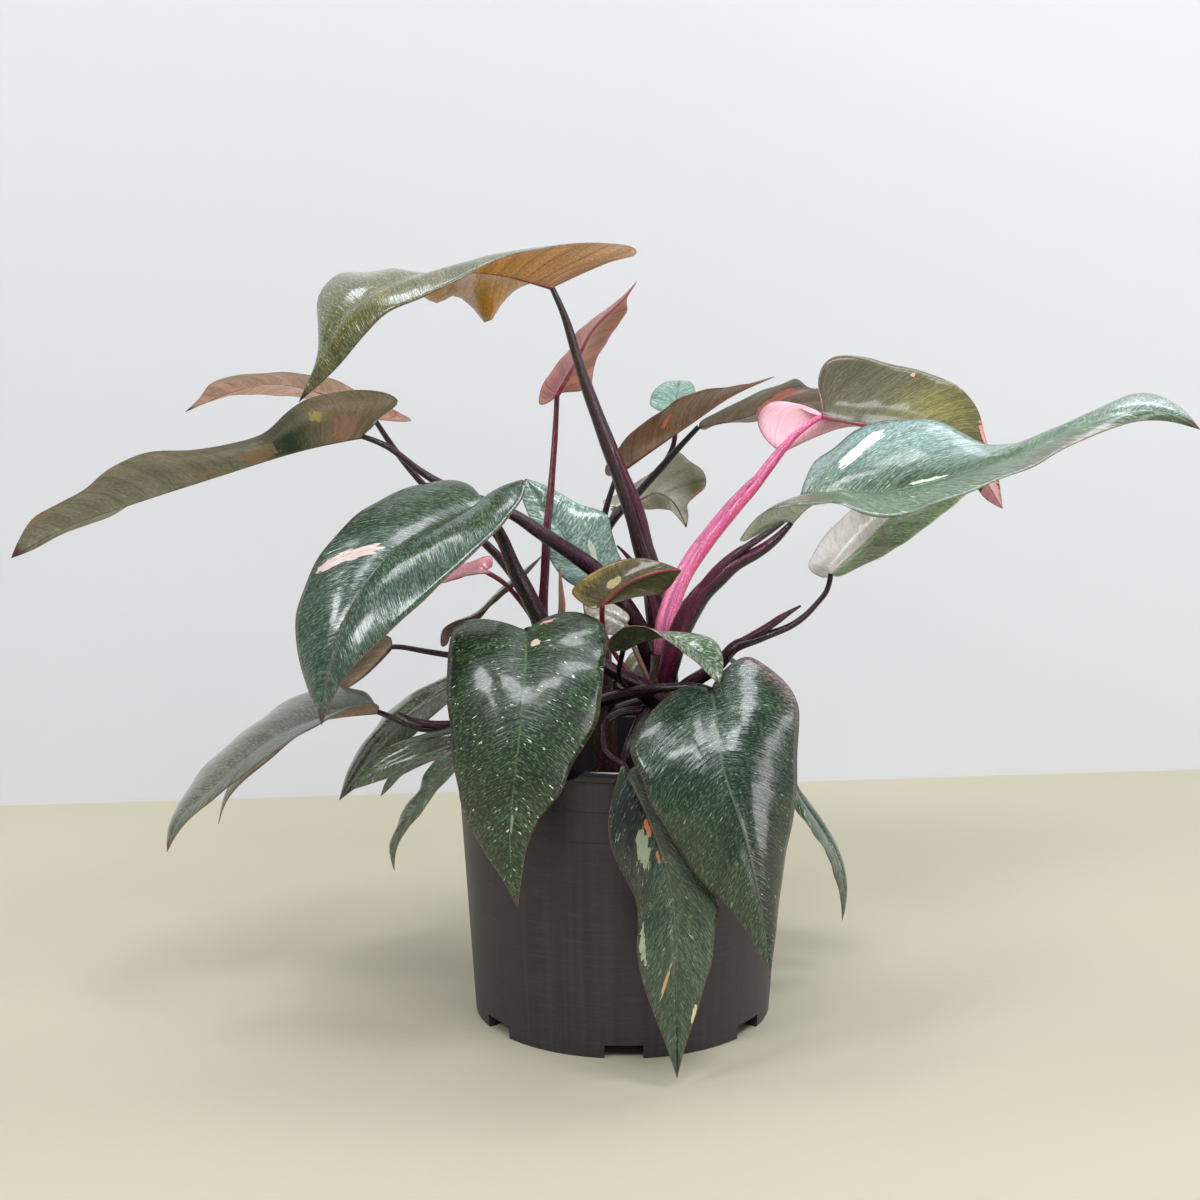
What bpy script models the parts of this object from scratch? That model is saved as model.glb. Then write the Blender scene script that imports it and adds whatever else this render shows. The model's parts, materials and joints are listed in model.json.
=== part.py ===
"""A variegated philodendron with three leafy stems in a round nursery pot.

Lengths in the tables are millimetres. A point of a leaf or a stalk is typed as it is seen
from the front of the plant: across, up and nearer, where across and up are read on the
upright plane through the pot's axis, and nearer moves the point along the line of sight.
"""
import math

import bpy
import numpy as np

MM = 0.001
EYE = np.array([-11.0, -1200.0, 470.0])
HALF_THICK = 0.4
MOST_MITRE = 1.7
JOINT_GAP = 0.95
END_RADIUS = 0.8
CLEAR = 0.35

# Pot
POT_SIDES = 48
POT_WALL = 1.6
POT_RADIUS_AT_FOOT = 71.5
POT_FLARE = 0.062
POT_TOP = 141.0
RIM_RADIUS = 82.5
RIM_LOW = 135.5
RING_LOW = 106.0
RING_HIGH = 121.0
RING_STEP = 0.5
FOOT_HIGH = 7.0
FLOOR_LOW = 7.0
FLOOR_TOP = 9.0
NOTCH_ANGLES = (-90, -34, 10, 52, 90, 128, 170, -146)
NOTCH_WIDE = 18.0
DRAIN_RADIUS = 5.0
DRAIN_AT = 46.0
SOIL_TOP = 93.0
SOIL_SIDES = 40
HOLE_LOW = 73.5

# Leaves: rib from the joint to the tip, then the two margins, also from the joint to the tip
LEAVES = {}


def leaf(name, rib, plus, minus, bow=0.10, rows=12, cols=3):
    LEAVES[name] = {"rib": rib, "plus": plus, "minus": minus, "bow": bow,
                    "rows": rows, "cols": cols}


leaf("top",
     [(-33, 349, 10), (-66, 356.5, 16), (-100, 353, 24), (-126, 340, 30), (-140, 318, 32),
      (-151, 296, 30)],
     [(-22, 356, -6), (-5, 362, -18), (-26, 356, -26), (-48, 349.5, -26), (-56, 341.5, -24),
      (-63, 332, -22), (-70, 340, -24), (-78, 345.5, -26), (-86, 342, -26), (-92, 345, -26),
      (-104, 357, -16), (-118, 355.8, -8), (-131.5, 355, 0), (-140.3, 345, 10), (-141.2, 331, 18),
      (-141.5, 314, 26)],
     [(-22, 354.3, 14), (-7, 360.5, 20), (5.5, 363.8, 27), (3.5, 367.8, 34), (-11.5, 370, 38),
      (-30.5, 368.7, 42), (-48.5, 364.8, 44), (-60, 360, 44), (-69, 356, 44), (-80, 350.5, 46),
      (-92, 345, 46), (-108, 339, 46), (-120, 327, 42), (-134, 311, 36)], rows=18)
leaf("upright",
     [(-31, 299, -28), (-23, 313, -24), (-14, 330, -22), (0, 344, -22), (6, 352, -22)],
     [(-34, 296.5, -28), (-39, 295, -32), (-38, 303, -38), (-32, 313, -40), (-25, 320.5, -40),
      (-21, 329, -38), (-13, 336, -34), (-3, 343, -28)],
     [(-28, 300.5, -30), (-21, 301, -34), (-15.5, 304, -38), (-14, 312, -40), (-10, 320, -40),
      (-4, 331, -36), (1.5, 338, -32), (1.5, 344, -28)], rows=10)
leaf("far_left",
     [(-122, 280, 20), (-150, 274, 24), (-190, 261.5, 30), (-228, 249, 35), (-262, 237, 39),
      (-288.5, 222, 42)],
     [(-114, 288, 8), (-112, 295, -2), (-128, 297, -6), (-150, 290, -6), (-175, 277, -2),
      (-200, 266, 2), (-222, 254, 12), (-240, 243, 22), (-252, 238, 28), (-265, 233, 34),
      (-278, 226, 39)],
     [(-117, 286, 26), (-111.5, 290.5, 35), (-105, 297, 46), (-112, 300.8, 56), (-127, 301.7, 61),
      (-145, 297.3, 63), (-156, 291, 63), (-168, 281.7, 63), (-184, 276.7, 62), (-202, 274.3, 60),
      (-222, 271.7, 58), (-241, 264, 56), (-252.5, 254.5, 54), (-265, 248.3, 52),
      (-277, 241.5, 49), (-284.5, 230.5, 45)], rows=16)
leaf("brown_left",
     [(-116, 288, -25), (-139, 300, -28), (-163, 305, -30), (-182, 301, -31), (-204, 291.5, -30)],
     [(-118, 291, -36), (-128, 296, -44), (-145, 297, -46), (-160, 299, -46), (-176, 300, -42),
      (-190, 297, -36)],
     [(-104, 287, -24), (-98.5, 287.3, -24), (-104, 290.8, -22), (-112, 295, -20),
      (-121, 299.5, -18), (-133, 306.3, -17), (-147, 309, -16), (-165, 309.5, -16),
      (-184, 308, -19), (-192, 304.5, -22), (-197, 298, -26)], rows=10)
leaf("front_left",
     [(-65, 248, 40), (-90, 237, 55), (-112, 222, 70), (-129, 198, 84), (-140, 170, 92),
      (-144, 140.5, 94)],
     [(-67, 251.5, 34), (-71.5, 256.5, 30), (-80, 259.3, 27), (-93, 258.2, 29), (-106, 253.8, 35),
      (-117, 247.8, 43), (-128, 239.8, 53), (-138.5, 229.5, 61), (-146, 219, 65),
      (-151.5, 206, 69), (-154.7, 192, 73), (-154.7, 178, 77), (-151.7, 163, 83),
      (-147.8, 150, 89)],
     [(-60.5, 249.5, 44), (-54.5, 254.5, 48), (-46, 259.3, 52), (-46.8, 251, 57), (-54, 242, 63),
      (-63.5, 231.5, 73), (-75.5, 219.5, 81), (-88, 207, 88), (-99.5, 197, 93), (-111.5, 186, 97),
      (-122, 175.5, 99), (-131.5, 165, 99), (-139, 152, 97)], rows=14)
leaf("pink_small",
     [(-66, 216, 10), (-78, 215, 12), (-96, 206, 14)],
     [(-62, 218, 4), (-62.5, 222.5, -2), (-70, 221, -6), (-80, 217.5, -4), (-88, 212, 4)],
     [(-63, 215, 16), (-70, 214, 20), (-82, 211, 20)], rows=6, cols=2)
leaf("front",
     [(-46, 187, 55), (-46.5, 170, 74), (-49, 140, 90), (-53, 105, 96), (-54.5, 80, 97),
      (-51, 48, 96)],
     [(-52, 188.5, 50), (-60, 191.5, 46), (-70, 192.2, 44), (-77.5, 190, 48), (-81.3, 184.5, 56),
      (-83.7, 171, 66), (-84.3, 155.5, 72), (-82, 135.5, 78), (-80.3, 115.5, 82), (-75.5, 93, 86),
      (-66.3, 76, 90), (-57.5, 62, 94)],
     [(-41, 190, 52), (-33, 194.7, 48), (-23, 196.5, 46), (-13.7, 193.2, 50), (-8.8, 188.3, 54),
      (-7.5, 180, 58), (-9, 170, 68), (-10.3, 155.5, 76), (-11.7, 143, 80), (-16.7, 133, 84),
      (-24.7, 120, 88), (-30, 107, 92), (-40.5, 93, 94), (-46, 80, 96), (-49, 64, 97)], rows=14)
leaf("front_right",
     [(42, 158, 62), (44, 148, 74), (48, 120, 92), (58, 88, 98), (67, 50, 98), (72, 11.5, 94)],
     [(36, 159, 62), (27, 158.5, 63), (18, 151.5, 68), (9, 141.5, 76), (4, 133, 83),
      (4, 125, 88), (9, 114, 94), (13, 102, 97), (21, 89, 99), (30, 73, 100), (40, 59.5, 102),
      (50, 49.5, 102), (62, 34, 100), (68.5, 21, 98)],
     [(45, 163, 60), (51, 170.5, 58), (59, 174, 56), (67, 170, 56), (78, 160.5, 58),
      (83.5, 150, 62), (84.5, 138, 66), (83.5, 122, 70), (83.5, 108, 74), (81, 92, 78),
      (79, 75, 84), (76.5, 55, 88), (74.5, 35, 92)], rows=14)
leaf("hanging",
     [(2, 117, 86), (12, 95, 90), (22, 65, 94), (26, 35, 98), (26.5, 0, 103), (27, -40, 106)],
     [(0, 121, 86), (-3, 113, 87), (-6, 100, 88), (-7, 88, 90), (-4.5, 76, 92), (1.5, 63, 94),
      (6.5, 52, 95), (7.5, 40, 97), (7, 27, 99), (9.5, 12, 102), (14.5, -4, 104),
      (20.5, -20, 106), (24.5, -32, 107)],
     [(9, 121, 86), (20, 112, 86), (30, 95, 88), (38, 75, 91), (44, 58, 94), (47, 48, 96),
      (45.5, 42, 97), (44.5, 32, 99), (43.5, 20, 101), (40.5, 10, 102), (38, 0, 103),
      (35, -10, 104), (31, -23, 105)], rows=14)
leaf("half_cream",
     [(98, 214.5, 15), (112, 228, 8), (125, 241, 2), (150, 256, -8), (168, 264, -12)],
     [(101, 213, 20), (110, 217, 24), (122, 222.5, 24), (134, 231, 18), (146, 239.5, 10),
      (158, 250, 0), (166, 258, -8)],
     [(95, 212.5, 10), (87.5, 217, 2), (89.5, 225, -8), (95, 232.5, -12), (103, 241, -15),
      (112, 249, -18), (130, 262, -20), (150, 268, -20), (162, 268, -16)], rows=10)
leaf("far_right",
     [(79, 239, 25), (90, 249, 26), (120, 252.5, 22), (150, 260, 12), (185, 271, -4),
      (203, 280.5, -12), (235, 291, -26), (254, 290.5, -34), (269, 283, -40)],
     [(73, 239, 32), (62, 232.5, 44), (55, 229, 50), (59, 236, 56), (66, 243.5, 60),
      (76, 246.5, 64), (90, 247.5, 67), (100, 248.5, 70), (112, 244, 70), (122, 242.5, 68),
      (132, 243, 64), (145, 247, 56), (160, 252, 46), (175, 258.5, 34), (190, 265, 20),
      (202, 272.5, 8), (214, 278, -4), (226, 283, -14), (240, 287, -26), (254, 287, -36)],
     [(83, 246.5, 22), (85.2, 252.5, 20), (86, 261, 14), (89.2, 268.5, 6), (98.5, 274.7, 0),
      (108.7, 282.7, -4), (122, 287, -6), (145, 287.5, -8), (158.5, 282, -8), (170, 276.7, -10),
      (186.5, 277, -22), (204, 284, -34), (215, 288, -40), (226, 294.7, -44), (236, 300, -46),
      (247, 299.7, -46), (259, 293.5, -44)], rows=18)
leaf("half_pink",
     [(92, 289, -10), (103, 286.5, -12), (120, 284, -14), (142, 281, -20), (162, 268, -26),
      (178, 245.5, -28)],
     [(92.5, 296, -14), (90.3, 304, -18), (91.7, 312, -22), (97, 317, -26), (109, 317.2, -30),
      (126, 313.7, -34), (141.5, 309.7, -36), (155, 303, -36), (164.3, 293.5, -36),
      (168.7, 280, -34), (174.5, 264, -30)],
     [(85, 291.5, -14), (78, 295, -20), (69.3, 296, -22), (62.3, 289, -20), (64.7, 280.5, -16),
      (74, 273, -13), (85, 280.5, -24), (96, 288, -36), (112, 291, -44), (135, 288, -48),
      (155, 276, -42), (163, 262, -38), (168, 252, -33)], rows=14)
leaf("grey_right",
     [(35, 284.5, -35), (55, 289, -40), (80, 296, -48), (105, 297, -55), (128, 292, -60)],
     [(36, 287, -32), (44, 291.5, -28), (55, 297, -25), (66, 301.5, -26), (75, 305, -27),
      (80, 307, -28), (86, 303.5, -32), (98, 302, -38), (115, 300, -48)],
     [(37, 283, -38), (45, 286, -48), (58, 287, -60), (75, 287.5, -68), (95, 289, -70),
      (115, 290, -66)], rows=9)
leaf("brown_right",
     [(-3, 262, -15), (15, 275, -14), (33, 287.5, -14), (50, 299, -14), (70, 308, -14)],
     [(-8, 261.5, -14), (-8.5, 265.5, -14), (-3.5, 272.5, -13), (2, 280, -10), (11, 287.7, -5),
      (19, 293.2, 0), (28, 298.3, 3), (38, 301.7, 2), (50, 303.7, -2), (60, 305, -8)],
     [(-6, 266, -22), (0, 272, -30), (14, 282, -36), (30, 292.5, -36), (46, 300.5, -30),
      (60, 305, -22)], rows=10)
leaf("teal_back",
     [(-15, 212, -15), (-27, 231, -15), (-38, 248, -18), (-46, 260, -22)],
     [(-12, 211, -15), (-5, 212, -16), (-0.5, 219, -16), (-3, 226, -16), (-5.5, 235, -17),
      (-8, 243, -18), (-21, 248, -20), (-36, 256.5, -22)],
     [(-20, 208, -14), (-28, 212, -12), (-35, 222, -12), (-41, 235, -14), (-46, 246, -17),
      (-48, 254, -20)], rows=8)
leaf("teal_small",
     [(23, 290, -40), (24, 298, -60), (26, 306, -86)],
     [(27, 290, -38), (33, 293, -44), (33.5, 300, -58), (31, 305.5, -76)],
     [(19, 291, -38), (13, 294, -44), (12.5, 298, -56), (15, 302.5, -68), (20, 305.5, -80)],
     rows=7, cols=2)
leaf("grey_back",
     [(-3, 246, -62), (7, 250, -62), (15, 253.5, -62), (22, 250.5, -60), (27, 243.5, -58),
      (29.5, 236.5, -57)],
     [(-8, 247.5, -62), (-10, 249, -63), (-2, 253, -62), (4, 257, -60), (12, 262, -58),
      (19, 268, -56), (25.5, 273, -54), (31, 268, -54), (37.5, 263, -54), (38.5, 256.5, -54),
      (33, 251, -54), (30, 247.5, -55), (30.5, 242, -56)],
     [(-6, 245.5, -64), (-4, 244, -68), (8, 245, -70), (20, 245.5, -70), (24.5, 242.5, -64),
      (28, 238.5, -59)], rows=9, cols=2)
leaf("olive_small",
     [(-10, 199, 45), (0, 208.5, 47), (12, 214, 50), (20, 216, 52), (27.5, 216, 54)],
     [(-13.5, 197.5, 44), (-18.5, 199.5, 42), (-24.5, 205.5, 40), (-21.3, 210, 40),
      (-12.8, 216, 40), (-3, 220.7, 42), (8, 222, 44), (17, 220.3, 48), (23.3, 218, 51)],
     [(-6.5, 199.8, 46), (2, 202, 46), (10, 203.8, 46), (17, 204.5, 46), (21.7, 207.7, 48),
      (25, 212.3, 52)], rows=9)
leaf("twisted_small",
     [(0, 177.5, 55), (9, 182, 58), (19, 184, 62), (31, 180, 66), (40, 171, 68), (46, 160.5, 68)],
     [(-4, 176.7, 58), (-7.2, 178.5, 65), (-6, 183.8, 69), (-1, 188, 72), (5.5, 189.2, 75),
      (12, 187.5, 77), (20, 183, 78), (28, 177, 78), (35.3, 170.7, 76), (41.5, 164.5, 72)],
     [(2, 180, 50), (8, 184, 46), (18, 186, 46), (27, 186, 50), (36, 184.5, 54), (43, 182.5, 56),
      (47, 176, 60), (47.5, 168, 64)], rows=10)
leaf("low_left",
     [(-117, 147, 28), (-135, 145, 30), (-150, 142, 31), (-165, 135.5, 33), (-180, 124.5, 34),
      (-198.5, 107.5, 34), (-213, 94, 32), (-220.3, 77, 30)],
     [(-119, 152, 20), (-123, 157, 8), (-130, 159.3, -1), (-140, 159.5, -5), (-151.5, 156, -6),
      (-167, 147.8, -6), (-181, 138.2, -4), (-194, 126.2, 2), (-204.8, 113.8, 8),
      (-213.5, 101.8, 14), (-219.3, 89.5, 22)],
     [(-116.5, 149.5, 34), (-119, 151, 40), (-128, 149.5, 50), (-140, 144.5, 54),
      (-149, 139.3, 56), (-160.5, 131.5, 56), (-172, 122.5, 54), (-187, 112, 48), (-200, 101, 42),
      (-212.5, 89.5, 36)], rows=14)
leaf("low_left_behind",
     [(-110, 179, -8), (-116, 172.3, -13), (-124, 164.7, -18), (-135, 156.8, -24),
      (-150, 146, -28), (-168, 133, -30), (-181, 119, -29), (-190, 107, -27), (-195, 91, -24)],
     [(-110, 182, -14), (-116, 181, -26), (-130, 169, -40), (-145, 156, -48), (-162, 142, -48),
      (-178, 126, -42), (-189, 111, -34)],
     [(-110, 183, -6), (-112, 184.5, -5), (-118, 183, -6), (-128, 173, -12), (-137, 162, -18),
      (-150, 141, -21), (-162, 130, -21), (-174, 119, -21), (-184, 111, -22), (-191, 102, -23)], rows=10)
leaf("low_a",
     [(-72, 165, 8), (-88, 157, 6), (-104, 145.5, 4), (-118, 130, 4), (-129, 114, 6),
      (-136.5, 103, 8)],
     [(-70, 168, 0), (-76, 169, -10), (-86, 163.5, -16), (-97, 158.5, -18), (-107, 151, -18),
      (-117, 141, -16), (-126.5, 129, -10), (-132.5, 116, -2)],
     [(-70, 161, 14), (-76, 156, 18), (-86, 149, 19), (-96, 140, 18), (-105, 131, 16),
      (-114, 121, 14), (-125, 112, 12)], rows=9)
leaf("low_b",
     [(-70, 138, 42), (-88, 133, 44), (-105, 125.5, 44), (-120, 117.5, 43), (-131, 108, 42)],
     [(-68, 141, 38), (-76, 141.5, 37), (-88, 138, 38), (-100, 134.5, 38), (-112, 130, 38),
      (-122, 122, 39)],
     [(-72, 134.5, 46), (-80, 129.5, 48), (-92, 122.5, 48), (-106, 116.5, 47),
      (-119, 112, 44)], rows=8)
leaf("low_c",
     [(-77, 130, 60), (-90, 125, 58), (-103, 120.3, 56), (-111, 114.3, 55), (-116.5, 105, 55)],
     [(-77, 133, 56), (-88, 129, 54), (-100, 124.3, 53), (-109, 119, 53), (-114, 112, 54)],
     [(-80, 127.3, 63), (-89.5, 123.5, 62), (-98, 119.7, 60), (-106, 115.5, 58), (-112, 109, 57)],
     rows=7, cols=2)
leaf("low_d",
     [(-76, 126, 72), (-88, 115, 70), (-97, 102.5, 68), (-105, 91.5, 66), (-110.5, 81, 64),
      (-112, 74, 64), (-110.5, 67.5, 64)],
     [(-77, 130, 68), (-88, 124.5, 65), (-96, 115, 62), (-98.5, 107.5, 61), (-104.5, 100, 61),
      (-109, 90, 61), (-112.7, 80, 62)],
     [(-76, 123, 75), (-82, 116, 76), (-89.5, 107.5, 74), (-97, 97, 71), (-104.3, 87.7, 68),
      (-109.3, 78.5, 66)], rows=9, cols=2)
leaf("low_right",
     [(82, 113, -28), (85.5, 103.5, -31), (92, 94, -35), (100.5, 80, -37), (106, 65, -37),
      (108, 52, -37), (106.8, 42, -37)],
     [(81.3, 111.5, -25), (80.8, 107, -22), (82.7, 99, -20), (88.5, 92, -19), (95, 82, -21),
      (100.8, 70.5, -25), (105, 57, -31)],
     [(83, 112.5, -32), (84.7, 108, -39), (90, 101.3, -46), (98, 90, -48), (105, 76, -45),
      (108.8, 61, -41)], rows=9)
leaf("pale_back",
     [(0, 158, -16), (6, 168, -19), (12, 180, -24)],
     [(6, 156, -16), (13, 160, -17), (16, 168, -18)],
     [(-3, 160, -16), (-1, 168, -17), (4, 176, -21)], rows=6, cols=2)
leaf("edge_on",
     [(-82, 186, -7), (-70, 193.5, -9), (-58, 206, -11), (-46, 216, -12), (-38, 223.5, -14)],
     [(-83.5, 180.5, -2), (-86.3, 179.3, 2), (-85.7, 187, 4), (-80, 190.7, 5), (-68, 195.5, 5),
      (-57, 206, 3), (-47, 215.5, -4)],
     [(-79, 185, -13), (-70, 191, -18), (-58, 203, -20), (-46, 213.5, -18)], rows=7, cols=2)
leaf("pale_pink",
     [(1, 190, 20), (-8, 195, 18), (-19, 199, 14)],
     [(3, 193, 18), (0, 197, 15), (-8, 201, 13)],
     [(-1, 186, 22), (-8, 185, 22), (-15, 190, 20)], rows=5, cols=2)
leaf("back_left_low",
     [(-30, 180, -76), (-36, 160, -92), (-42, 125, -104), (-46, 85, -109)],
     [(-24, 184, -74), (-14, 184, -76), (-11, 165, -88), (-15, 135, -100), (-28, 105, -107)],
     [(-36, 184, -74), (-50, 184, -76), (-60, 165, -86), (-62, 135, -98), (-56, 105, -105)],
     rows=9)
leaf("back_right_low",
     [(50, 152, -86), (52, 130, -98), (55, 95, -106), (58, 60, -109)],
     [(55, 156, -84), (65, 156, -86), (74, 138, -94), (74, 108, -101), (66, 82, -107)],
     [(43, 156, -86), (33, 154, -88), (26, 134, -96), (30, 104, -104), (44, 78, -108)],
     rows=9)
leaf("back_left_high",
     [(-88, 232, -50), (-100, 224, -66), (-112, 205, -84), (-118, 178, -96)],
     [(-84, 237, -50), (-78, 236, -50), (-84, 222, -60), (-94, 206, -74), (-108, 190, -88)],
     [(-92, 238, -52), (-104, 244, -58), (-120, 236, -66), (-132, 214, -78),
      (-130, 192, -90)], rows=9)
leaf("back_right_high",
     [(105, 268, -62), (116, 272, -76), (132, 269, -92), (146, 261, -107)],
     [(112, 263, -60), (122, 260, -66), (136, 257, -80), (146, 256, -95)],
     [(102, 274, -65), (106, 281, -74), (120, 282, -90), (136, 274, -101)], rows=9)

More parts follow.
